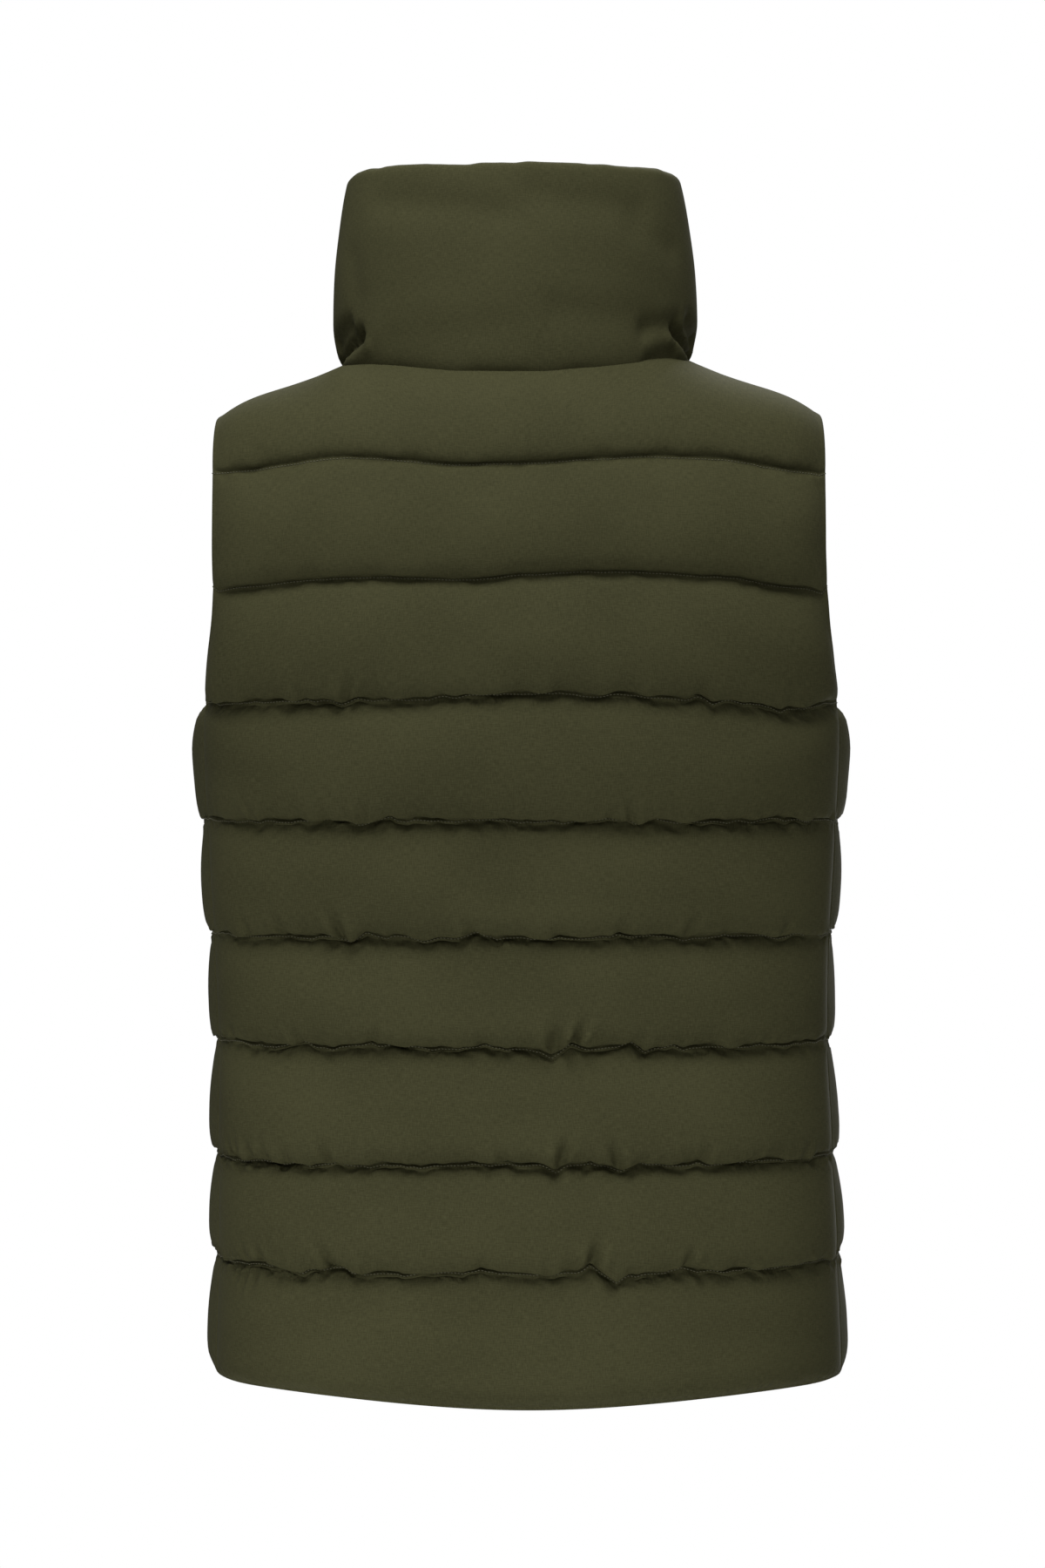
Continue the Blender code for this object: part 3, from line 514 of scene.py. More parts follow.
    def normals(self, side: Side, fractions: np.ndarray, heights: np.ndarray) -> np.ndarray:
        """Outward directions of the plain form; both panels share the shoulder seam's.

        Args:
            side: Back or front.
            fractions: Places across.
            heights: Places up, in stitch rows.

        Returns:
            Unit vectors, one for each point of the grid.
        """
        step = 1e-3
        top = YOKE + 1
        lower = np.maximum(heights - step, 0)
        upper = np.minimum(heights + step, top)
        up = self.skin(side, fractions, upper) - self.skin(side, fractions, lower)
        inner = np.where(fractions < 0, fractions, fractions - step)
        outer = np.where(fractions < 0, fractions + step, fractions)
        along = self.skin(side, outer, heights) - self.skin(side, inner, heights)
        found = unit(np.cross(up, along) if side is Side.BACK else np.cross(along, up))
        drop = self.neck_side_level - self.shoulder_tip[2]
        run = self.shoulder_tip[0] - self.neck_half_width - self.neck_shift * np.sign(fractions)
        on_shoulder = np.abs(fractions) >= self.neck_share(side) - 1e-6
        flat = np.zeros_like(fractions)
        seam = unit(np.stack((np.sign(fractions) * drop, flat, flat + run), axis=-1))
        for row, height in enumerate(heights):
            near = np.clip(1 - (top - height) / self.shoulder_blend, 0, 1) * on_shoulder
            found[row] = unit(found[row] * (1 - near[:, None]) + seam * near[:, None])
        return found


FORM = VestForm()


# ---- mesh tools ---------------------------------------------------------------------------
def place_vertices(verts: Sequence[bmesh.types.BMVert], points: np.ndarray) -> None:
    """Moves vertices to an array of points in the same order."""
    for vertex, place in zip(verts, points.reshape(-1, 3)):
        vertex.co = place


def lay_sheet(mesh: bmesh.types.BMesh, points: np.ndarray, flat: np.ndarray | None) -> np.ndarray:
    """Adds a grid laid on rows of points, with a UV map of its flat cut in metres.

    Args:
        mesh: The mesh it is added to.
        points: Rows of points.
        flat: The same rows as (across, up) on the flat cloth, or None.

    Returns:
        The grid's vertices, in the same rows.
    """
    rows, columns = points.shape[:2]
    made = bmesh.ops.create_grid(mesh, x_segments=columns - 1, y_segments=rows - 1, size=1)
    place_vertices(made["verts"], points)
    if flat is not None:
        layer = mesh.loops.layers.uv.verify()
        for vertex, place in zip(made["verts"], flat.reshape(-1, 2)):
            for loop in vertex.link_loops:
                loop[layer].uv = place
    return np.array(made["verts"], dtype=object).reshape(rows, columns)


def as_object(name: str, mesh: bmesh.types.BMesh) -> bpy.types.Object:
    """Makes an object at the origin from a mesh, which is freed."""
    data = bpy.data.meshes.new(name)
    mesh.to_mesh(data)
    mesh.free()
    made = bpy.data.objects.new(name, data)
    bpy.context.scene.collection.objects.link(made)
    return made


def finish_mesh(
    name: str, mesh: bmesh.types.BMesh, finish: bpy.types.Material, sharp: float = 60.0
) -> bpy.types.Object:
    """Turns a closed mesh outwards and makes it an object at the origin.

    Args:
        name: The piece's name.
        mesh: Its mesh, which is freed.
        finish: Its material.
        sharp: Edges that turn more than this many degrees stay sharp.

    Returns:
        The piece.
    """
    bmesh.ops.recalc_face_normals(mesh, faces=mesh.faces)
    if mesh.calc_volume(signed=True) < 0:
        bmesh.ops.reverse_faces(mesh, faces=mesh.faces)
    made = as_object(name, mesh)
    made.data.materials.append(finish)
    made.data.shade_smooth()
    made.data.set_sharp_from_angle(angle=radians(sharp))
    return made


def close_wall(mesh: bmesh.types.BMesh) -> None:
    """Bridges the open borders of an outer and an inner sheet all round."""
    border = [edge for edge in mesh.edges if edge.is_boundary]
    bmesh.ops.bridge_loops(mesh, edges=border)


def between(values: np.ndarray, axis: int) -> np.ndarray:
    """Doubles the fineness of an array along an axis by four-point interpolation.

    Args:
        values: Values on the coarse grid.
        axis: The axis that is doubled.

    Returns:
        The array with a value added between each two neighbours.
    """
    values = np.moveaxis(values, axis, 0)
    before = np.concatenate((2 * values[:1] - values[1:2], values[:-2]))
    after = np.concatenate((values[2:], 2 * values[-1:] - values[-2:-1]))
    fine = np.empty((2 * len(values) - 1, *values.shape[1:]))
    fine[::2] = values
    fine[1::2] = (9 * (values[:-1] + values[1:]) - before - after) / 16
    return np.moveaxis(fine, 0, axis)


def along_line(
    points: np.ndarray, out: np.ndarray, pitch: float
) -> tuple[np.ndarray, np.ndarray, np.ndarray]:
    """Evenly spaced places on a line of points, with their directions.

    Args:
        points: The line's points.
        out: The outward direction at each of them.
        pitch: Distance between places.

    Returns:
        The places, the directions ahead, and the outward ones turned square to those.
    """
    lengths = distance_along(points)
    at = np.arange(pitch / 2, lengths[-1], pitch)
    places, normal = (
        np.stack([np.interp(at, lengths, axis) for axis in rows.T], axis=-1)
        for rows in (points, out)
    )
    ahead = unit(np.gradient(places, axis=0))
    return places, ahead, unit(normal - ahead * (normal * ahead).sum(-1, keepdims=True))


def repeated(
    name: str, shape: bmesh.types.BMesh, frames: np.ndarray, finish: bpy.types.Material
) -> bpy.types.Object:
    """Copies one small closed shape to many places as one piece.

    Args:
        name: The piece's name.
        shape: The shape about its own origin, which is freed.
        frames: One 3 x 4 matrix a copy: three axes, then the place.
        finish: Its material.

    Returns:
        The piece.
    """
    points = np.array([vertex.co for vertex in shape.verts])
    kinds = (shape.verts, shape.edges, shape.faces)
    sizes = [len(kind) for kind in kinds]
    made = 1
    while made < len(frames):
        wanted = min(made, len(frames) - made)
        copied = [part for kind, size in zip(kinds, sizes) for part in list(kind)[: size * wanted]]
        bmesh.ops.duplicate(shape, geom=copied)
        made += wanted
    spread = np.einsum("nij,vj->nvi", frames[:, :, :3], points) + frames[:, None, :, 3]
    place_vertices(list(shape.verts), spread)
    return finish_mesh(name, shape, finish, sharp=80.0)


# ---- finishes -----------------------------------------------------------------------------
@dataclass
class Recipe:
    """A material being built: its node tree, and short ways to add nodes and link them."""

    name: str
    material: bpy.types.Material = field(init=False)
    tree: bpy.types.NodeTree = field(init=False)
    shader: bpy.types.Node = field(init=False)

    def __post_init__(self) -> None:
        """Makes the material and finds its shader."""
        self.material = bpy.data.materials.new(self.name)
        self.material.use_nodes = True
        self.tree = self.material.node_tree
        self.shader = self.tree.nodes["Principled BSDF"]

    def set(self, node: bpy.types.Node, name: str | int, value: object) -> None:
        """Sets an input to a value, or links an output socket to it."""
        if isinstance(value, bpy.types.NodeSocket):
            self.tree.links.new(value, node.inputs[name])
        else:
            node.inputs[name].default_value = value

    def node(self, kind: str, settings: dict | None = None, **inputs: object) -> bpy.types.Node:
        """Adds a node.

        Args:
            kind: Blender's name of the node, without its ShaderNode.
            settings: Properties of the node.
            **inputs: Values or output sockets for its inputs, by name with _ for a space.

        Returns:
            The node.
        """
        made = self.tree.nodes.new("ShaderNode" + kind)
        for name, value in (settings or {}).items():
            setattr(made, name, value)
        for name, value in inputs.items():
            self.set(made, name.replace("_", " "), value)
        return made

    def surface(self, **inputs: object) -> bpy.types.Material:
        """Sets the shader's inputs, by name with _ for a space, and returns the material."""
        for name, value in inputs.items():
            self.set(self.shader, name.replace("_", " "), value)
        return self.material

    def blend(self, first: Triple, second: Triple, share: object) -> bpy.types.NodeSocket:
        """A colour between two, by a share from a texture."""
        mix = self.node("Mix", {"data_type": "RGBA"}, Factor=share)
        first_input, second_input, result = 6, 7, 2
        self.set(mix, first_input, (*first, 1.0))
        self.set(mix, second_input, (*second, 1.0))
        return mix.outputs[result]

    def math(
        self, operation: str, first: object, second: object, kind: str = "Math"
    ) -> bpy.types.NodeSocket:
        """The result of a maths node, or of a vector maths node."""
        made = self.node(kind, {"operation": operation})
        self.set(made, 0, first)
        self.set(made, 1, second)
        return made.outputs[0]

    def noise(self, vector: object, scale: Triple, detail: float = 2.0) -> bpy.types.NodeSocket:
        """The value of a noise texture with its own scale along each axis."""
        stretched = self.node("Mapping", Vector=vector, Scale=scale).outputs["Vector"]
        return self.node("TexNoise", Vector=stretched, Scale=1.0, Detail=detail).outputs["Fac"]

    def bump(self, height: object, depth: Pair, **under: object) -> object:
        """A bumped normal by a strength and a distance, on top of another where one is given."""
        strength, distance = depth
        made = self.node("Bump", Height=height, Strength=strength, Distance=distance, **under)
        return made.outputs["Normal"]


@dataclass(frozen=True)
class ShellCloth:
    """Fine plain-weave nylon with a matt, slightly brushed face, laid by the piece's UV map.

    Noise scales are turns a metre, across and up. Each bump is a strength and a depth in metres,
    and wave_length is the length of a wave texture's band at scale 1.
    """

    dark: Triple = (0.0450, 0.0438, 0.0192)
    light: Triple = (0.0650, 0.0633, 0.0287)
    warp: Triple = (1900.0, 300.0, 1.0)
    weft: Triple = (280.0, 1800.0, 1.0)
    drift: Triple = (14.0, 20.0, 1.0)
    drift_share: float = 0.25
    tone_span: Pair = (0.40, 0.60)
    wave_length: float = 0.314
    thread_pitch: float = 0.00042
    bends: Triple = (60.0, 60.0, 1.0)
    bend_width: float = 0.012
    creases: Triple = (260.0, 170.0, 1.0)
    crease_bump: Pair = (1.0, 0.0045)
    slub_bump: Pair = (0.35, 0.00012)
    weave_bump: Pair = (0.25, 0.00005)
    roughness: float = 0.85
    specular: float = 0.08

    def build(self) -> bpy.types.Material:
        """Makes the material: gathers, thread bump, short slubs both ways and a drift of tone."""
        recipe = Recipe("shell")
        flat = recipe.node("TexCoord").outputs["UV"]
        warp, weft = (recipe.noise(flat, scale) for scale in (self.warp, self.weft))
        slubs = recipe.math("MULTIPLY", recipe.math("ADD", warp, weft), 0.5)
        drift = recipe.noise(flat, self.drift, detail=3.0)
        drift = recipe.math("MULTIPLY", drift, self.drift_share)
        tone = recipe.math("MULTIPLY", slubs, 1 - self.drift_share)
        tone = recipe.math("ADD", tone, drift)
        low, high = self.tone_span
        spread = recipe.node("MapRange", Value=tone, From_Min=low, From_Max=high)
        normal = recipe.bump(self.gathering(recipe, flat), self.crease_bump)
        normal = recipe.bump(slubs, self.slub_bump, Normal=normal)
        normal = recipe.bump(self.weave(recipe, flat), self.weave_bump, Normal=normal)
        return recipe.surface(
            Base_Color=recipe.blend(self.dark, self.light, spread.outputs[0]),
            Normal=normal,
            Roughness=self.roughness,
            Specular_IOR_Level=self.specular,
        )

    def weave(self, recipe: Recipe, flat: bpy.types.NodeSocket) -> bpy.types.NodeSocket:
        """The height of the crossing threads."""
        scale = self.wave_length / self.thread_pitch
        ways = ({"bands_direction": way} for way in "XY")
        waves = (recipe.node("TexWave", way, Vector=flat, Scale=scale) for way in ways)
        return recipe.math("MULTIPLY", *(wave.outputs["Fac"] for wave in waves))

    def gathering(self, recipe: Recipe, flat: bpy.types.NodeSocket) -> bpy.types.NodeSocket:
        """The height of the fine creases, which stand where the piece says it is gathered."""
        gathered = recipe.node("Attribute", {"attribute_name": GATHERS}).outputs["Fac"]
        bend = recipe.noise(flat, self.bends, detail=1.0)
        bend = recipe.math("MULTIPLY", bend, self.bend_width)
        slant = recipe.node("CombineXYZ", X=bend).outputs[0]
        bent = recipe.math("ADD", flat, slant, "VectorMath")
        creases = recipe.noise(bent, self.creases, detail=1.5)
        return recipe.math("MULTIPLY", creases, gathered)


@dataclass(frozen=True)
class TapeCloth:
    """Close herringbone zip tape."""

    dark: Triple = (0.022, 0.021, 0.013)
    light: Triple = (0.036, 0.035, 0.022)
    rib_scale: float = 210.0
    grain: Triple = (1500.0, 1500.0, 1500.0)
    rib_bump: Pair = (0.6, 0.0002)
    roughness: float = 0.85
    specular: float = 0.25

    def build(self) -> bpy.types.Material:
        """Makes the material: slanting ribs broken by a fine noise."""
        recipe = Recipe("zip_tape")
        flat = recipe.node("TexCoord").outputs["UV"]
        slanting = {"bands_direction": "DIAGONAL"}
        ribs = recipe.node("TexWave", slanting, Vector=flat, Scale=self.rib_scale, Distortion=1.0)
        return recipe.surface(
            Base_Color=recipe.blend(self.dark, self.light, recipe.noise(flat, self.grain)),
            Normal=recipe.bump(ribs.outputs["Fac"], self.rib_bump),
            Roughness=self.roughness,
            Specular_IOR_Level=self.specular,
        )


@dataclass(frozen=True)
class SewingThread:
    """Spun sewing thread, a little lighter than the shell."""

    dark: Triple = (0.062, 0.060, 0.030)
    light: Triple = (0.115, 0.111, 0.062)
    fibres: Triple = (900.0, 900.0, 3600.0)
    fibre_bump: Pair = (0.5, 0.0001)
    roughness: float = 0.6

    def build(self) -> bpy.types.Material:
        """Makes the material: fine fibres in two tones."""
        recipe = Recipe("sewing_thread")
        place = recipe.node("TexCoord").outputs["Object"]
        fibres = recipe.noise(place, self.fibres)
        return recipe.surface(
            Base_Color=recipe.blend(self.dark, self.light, fibres),
            Normal=recipe.bump(fibres, self.fibre_bump),
            Roughness=self.roughness,
        )


@dataclass(frozen=True)
class Fitting:
    """A hard zip fitting: moulded plastic or lacquered metal, faintly worn."""

    name: str
    dark: Triple
    light: Triple
    metallic: float
    smooth: float
    worn: float
    clouds: Triple = (260.0, 260.0, 260.0)
    rubbing: Triple = (900.0, 900.0, 240.0)
    rub_bump: Pair = (0.15, 0.00004)

    def build(self) -> bpy.types.Material:
        """Makes the material: cloudy tone, and roughness that varies with rubbing."""
        recipe = Recipe(self.name)
        place = recipe.node("TexCoord").outputs["Object"]
        clouds = recipe.noise(place, self.clouds, detail=4.0)
        rubbed = recipe.noise(place, self.rubbing, detail=3.0)
        span = recipe.node("MapRange", Value=rubbed, To_Min=self.smooth, To_Max=self.worn)
        return recipe.surface(
            Base_Color=recipe.blend(self.dark, self.light, clouds),
            Roughness=span.outputs[0],
            Normal=recipe.bump(rubbed, self.rub_bump),
            Metallic=self.metallic,
        )


@dataclass(frozen=True)
class Finishes:
    """Every material of the vest."""

    shell: bpy.types.Material
    tape: bpy.types.Material
    thread: bpy.types.Material
    teeth: bpy.types.Material
    metal: bpy.types.Material

    @classmethod
    def build(cls) -> "Finishes":
        """Makes them all."""
        teeth = Fitting("zip_teeth", (0.016, 0.016, 0.014), (0.030, 0.030, 0.026), 0.0, 0.35, 0.55)
        metal = Fitting("metal", (0.060, 0.058, 0.052), (0.110, 0.106, 0.096), 0.9, 0.28, 0.50)
        made = (ShellCloth(), TapeCloth(), SewingThread(), teeth, metal)
        return cls(*(finish.build() for finish in made))


# ---- padding ------------------------------------------------------------------------------
@dataclass(frozen=True)
class Inflation:
    """The cloth simulation that blows a panel up between its pinned rows."""

    frames: int = 20
    quality: int = 5
    pressure: float = 3.0
    tension: float = 40.0
    bending: float = 1.5
    mass: float = 0.3
    air: float = 2.0
    cap: float = 0.005

    def run(
        self, name: str, start: np.ndarray, cut: np.ndarray, pinned: np.ndarray
    ) -> np.ndarray:
        """Simulates one sheet.

        Args:
            name: A name for the sheet.
            start: Rows of points that it starts from.
            cut: The same points at the size the cloth wants to be.
            pinned: Which of the points are sewn down.

        Returns:
            The rows of points after the last frame, none moved further than the cap.
        """
        mesh = bmesh.new()
        lay_sheet(mesh, start, None)
        sheet = as_object(name, mesh)
        data = sheet.data
        sheet.shape_key_add(name="start")
        wanted = sheet.shape_key_add(name="cut")
        wanted.data.foreach_set("co", cut.reshape(-1).astype(np.float32))
        wanted.value = 0.0
        group = sheet.vertex_groups.new(name="sewn")
        group.add([int(index) for index in np.flatnonzero(pinned.reshape(-1))], 1.0, "REPLACE")
        cloth = sheet.modifiers.new("Cloth", "CLOTH")
        settings = cloth.settings
        settings.quality = self.quality
        settings.mass = self.mass
        settings.tension_stiffness = self.tension
        settings.compression_stiffness = self.tension
        settings.shear_stiffness = self.tension / 3
        settings.bending_stiffness = self.bending
        settings.air_damping = self.air
        settings.vertex_group_mass = group.name
        settings.rest_shape_key = wanted
        settings.use_pressure = True
        settings.uniform_pressure_force = self.pressure
        settings.effector_weights.gravity = 0.0
        cloth.collision_settings.use_collision = False
        cloth.point_cache.frame_end = self.frames
        for number in range(1, self.frames + 1):
            bpy.context.scene.frame_set(number)
        posed = sheet.evaluated_get(bpy.context.evaluated_depsgraph_get())
        found = np.empty(start.size, np.float32)
        posed.data.vertices.foreach_get("co", found)
        bpy.data.objects.remove(sheet)
        bpy.data.meshes.remove(data)
        bpy.context.scene.frame_set(1)
        moved = found.reshape(start.shape).astype(float) - start
        length = np.linalg.norm(moved, axis=-1, keepdims=True)
        LOG.info("%s swelled by %.1f mm at most", name, float(length.max()) * 1000)
        return start + moved * self.cap * np.tanh(length / self.cap) / np.maximum(length, 1e-9)


@dataclass(frozen=True)
class Level:
    """One level of a panel's grid, at a height that counts stitch rows from the hem."""

    side: Side
    fractions: np.ndarray
    height: float

    @cached_property
    def row(self) -> int:
        """The nearest stitch row."""
        return int(np.clip(round(self.height), 1, YOKE))

    @cached_property
    def away(self) -> float:
        """The distance above the nearest stitch row in metres, negative below it."""
        return (self.height - self.row) * CHANNEL

    @property
    def above_hem(self) -> float:
        """The distance above the hem in metres, by the height of a common channel."""
        return self.height * CHANNEL

    @property
    def upper(self) -> bool:
        """Whether the nearest stitch row is one of the two top ones, which lie calmer."""
        return self.row >= YOKE - 1

    @cached_property
    def length(self) -> float:
        """Half the girth of the panel here."""
        return FORM.half_length(self.side, self.height)

    @cached_property
    def across(self) -> np.ndarray:
        """The places across in metres, negative to the wearer's right."""
        return self.fractions * self.length

    def to_edge(self, fraction: float) -> np.ndarray:
        """Distances from the panel's edge at a fraction."""
        return np.abs(self.fractions - fraction) * self.length


@dataclass(frozen=True)
class Grid:
    """A panel's grid of points: its fractions across by its heights up."""

    side: Side
    fractions: np.ndarray
    heights: np.ndarray

    @cached_property
    def levels(self) -> list[Level]:
        """Its levels, from the hem up."""
        return [Level(self.side, self.fractions, float(height)) for height in self.heights]

    def fill(self, make: Callable[[Level], np.ndarray]) -> np.ndarray:
        """What a function of a level gives on every level, as rows."""
        return np.stack([make(level) for level in self.levels])

    def skin(self) -> np.ndarray:
        """The plain form on the grid."""
        return FORM.skin(self.side, self.fractions, self.heights)

    def normals(self) -> np.ndarray:
        """Outward directions of the plain form on the grid."""
        return FORM.normals(self.side, self.fractions, self.heights)

    def flat(self) -> np.ndarray:
        """The grid on the flat cloth, for a UV map in metres."""
        length = FORM.half_length(self.side, float(YOKE))
        level = np.interp(self.heights, np.arange(YOKE + 2), [*FORM.row_levels, 0.0])
        return np.stack(np.meshgrid(self.fractions * length, level), axis=-1)

    def finer(self) -> "Grid":
        """The grid at twice the fineness both ways."""
        return Grid(self.side, between(self.fractions, 0), between(self.heights, 0))

    def coarser(self, rows: int, columns: int) -> "Grid":
        """Every so many of its rows and columns, and always the last."""
        heights = np.append(self.heights[::rows][:-1], self.heights[-1])
        fractions = np.append(self.fractions[::columns][:-1], self.fractions[-1])
        return Grid(self.side, fractions, heights)


@dataclass(frozen=True)
class Padding:
    """How the filling stands between the stitch rows before the cloth is blown up.

    A channel is fullest at the share fullest of its height. From the channel round_from upwards
    it gets rounder, over round_over channels. Powers set how flat its belly is.
    """

    fuller: float = 1.15
    fullest: float = 0.34
    lower_power: float = 3.4
    upper_power: float = 2.0
    round_from: int = 3
    round_over: int = 3
    round_lift: float = 0.10
    round_power: float = 2.1
    steep: float = 0.50
    steep_top: float = 0.14
    steep_reach: float = 0.0024
    lower_lip: float = 0.0008
    full_channel: float = 0.060
    underarm: float = 5.9
    side_taper: float = 0.085
    armhole_taper: float = 0.030

    def rise(self, height: float) -> float:
        """The swell at a height, away from the panel's edges."""
        channel = min(int(height), YOKE)
        share = height - channel
        rounder = float(np.clip((channel - self.round_from) / self.round_over, 0, 1))
        fullest = self.fullest + self.round_lift * rounder
        below = share < fullest
        span = fullest if below else 1 - fullest
        belly = self.lower_power + (self.round_power - self.lower_power) * rounder
        profile = 1 - abs((share - fullest) / span) ** (belly if below else self.upper_power)
        steep = self.steep if below else self.steep_top
        away = min(share, 1 - share) * CHANNEL - (LIP if below else self.lower_lip)
        rise = 1 - np.exp(-max(away, 0) / self.steep_reach)
        return self.fuller * STITCH_ROWS[channel].puff * rise * (steep + (1 - steep) * profile)

    def swell(self, level: Level, edges: tuple[float, ...]) -> np.ndarray:
        """How far the cloth stands beyond the wall, less beside each of the panel's edges."""
        found = np.full_like(level.fractions, self.rise(level.height))
        if level.height >= YOKE:
            top = FORM.top_points(level.side, level.fractions)
            low = FORM.section_points(level.side, STITCH_ROWS[-1].level, level.fractions)
            tall = np.linalg.norm(top - low, axis=1)
            found = found * np.clip(tall / self.full_channel, 0, 1)
        for edge in edges:
            width = ZIP_TAPER
            if abs(edge) == 1:
                above = np.clip((level.height - self.underarm) * 2 + 1, 0, 1)
                width = self.side_taper + (self.armhole_taper - self.side_taper) * above
            near = np.clip(level.to_edge(edge) / width, 0, 1)
            found = found * (1 - (1 - near) ** 2)
        return np.clip(found, 0, None)


@dataclass(frozen=True)
class PinchedFolds:
    """What every pinched fold has in common: how it presses the padding and kinks its row.

    depth and reach multiply a fold's own, and slant its lean. A fold is foot times its width at
    the row and widens away from it. A ridge stands beside it, ridge_place half widths off.
    """

    depth: float = 1.10
    deepest: float = 0.95
    reach: float = 0.80
    slant: float = 0.6
    foot: float = 0.75
    widening: float = 0.35
    ridge: float = 0.35
    ridge_place: float = 1.9
    kink: float = 1.5
    kink_width: float = 1.6
    kink_power: float = 1.5

    def left(self, level: Level, pinches: tuple[Pinch, ...]) -> np.ndarray:
        """The share of the swell that the folds leave at a level."""
        across, away = level.across, level.away
        left = np.ones_like(across)
        for pinch in pinches:
            if pinch.row == level.row and away * pinch.reach >= 0:
                along = abs(away / (pinch.reach * self.reach))
                middle = pinch.across + self.slant * pinch.lean * abs(away)
                width = pinch.width * (self.foot + self.widening * along)
                offset = np.abs(across - middle) / width
                pressed = bell(offset) - self.ridge * bell(offset - self.ridge_place)
                left *= 1 - min(self.depth * pinch.depth, self.deepest) * pressed * bell(along)
        return left

    def dips(self, level: Level, pinches: tuple[Pinch, ...]) -> np.ndarray:
        """How far the folds pull the nearest stitch row down."""
        across = level.across
        found = np.zeros_like(across)
        for pinch in pinches:
            if pinch.row == level.row:
                width = pinch.width * self.kink_width
                dip = bell(across - pinch.across, width, self.kink_power)
                found += self.kink * pinch.drop * dip
        return found


@dataclass(frozen=True)
class Waver:
    """An uneven curve: how far it swings, the distance between its turns, and its seed."""

    swing: float
    spacing: float
    seed: int

    def read(self, across: np.ndarray, seed: int = 0) -> np.ndarray:
        """The curve at each place; a seed is added to its own."""
        return self.swing * wandering(across, seed + self.seed, self.spacing)


@dataclass(frozen=True)
class Fall:
    """How the cloth hangs and how its stitch rows wander, in metres downwards.

    over is the fall of a channel's foot over the row below it, and under the small fall of the
    cloth just below a row. Seeds count from ten times the row.
    """

    wander: tuple[Waver, ...] = (
        Waver(0.0010, 0.019, 50),
        Waver(0.0008, 0.0075, 51),
        Waver(0.0003, 0.0034, 52),
    )
    front_seed: int = 100
    upper_wander: float = 0.3
    wander_reach: float = 0.009
    over: float = 0.0027
    over_reach: float = 0.0040
    over_waver: Waver = Waver(0.9, 0.012, 3)
    upper_over: float = 0.6
    under: Waver = Waver(0.0011, 0.0065, 4)
    under_away: float = 0.0032
    under_width: float = 0.0020
    hem: Waver = Waver(0.0010, 0.011, 700)
    hem_reach: float = 0.006
    bend_reach: float = 0.026
    side_share: float = 0.03

    def bend(self, level: Level) -> np.ndarray:
        """How far a row's broad, slow curve on the back lies below its level line."""
        across = level.across
        if level.side is Side.FRONT or level.row not in BACK_BENDS:
            return np.zeros_like(across)
        places, low = np.array(BEND_PLACES), np.array(BACK_BENDS[level.row])
        index = np.clip(np.searchsorted(places, across) - 1, 0, len(places) - 2)
        share = (across - places[index]) / (places[index + 1] - places[index])
        share = eased(np.clip(share, 0, 1))
        return low[index] * (1 - share) + low[index + 1] * share

    def drop(self, level: Level, dips: np.ndarray) -> np.ndarray:
        """How far the cloth hangs down at a level.

        Args:
            level: The level.
            dips: How far the folds pull the nearest row down.

        Returns:
            The drop at each place.
        """
        across, away, seed = level.across, level.away, 10 * level.row
        side_seed = seed + (0 if level.side is Side.BACK else self.front_seed)
        wander = sum(waver.read(across, side_seed) for waver in self.wander)
        dips = dips + wander * (self.upper_wander if level.upper else 1)
        beyond = max(away - LIP, 0) / self.over_reach
        over = self.over * beyond * np.exp(1 - beyond) * (1 + self.over_waver.read(across, seed))
        over = over * (self.upper_over if level.upper else 1)
        under = bell(away + self.under_away, self.under_width) * self.under.read(across, seed)
        hem = bell(level.above_hem, self.hem_reach) * self.hem.read(across, level.side.value)
        within = np.clip((1 - np.abs(level.fractions)) / self.side_share, 0, 1)
        hanging = (dips * bell(away, self.wander_reach) + over + under) * within
        return hanging + hem + self.bend(level) * bell(away, self.bend_reach)


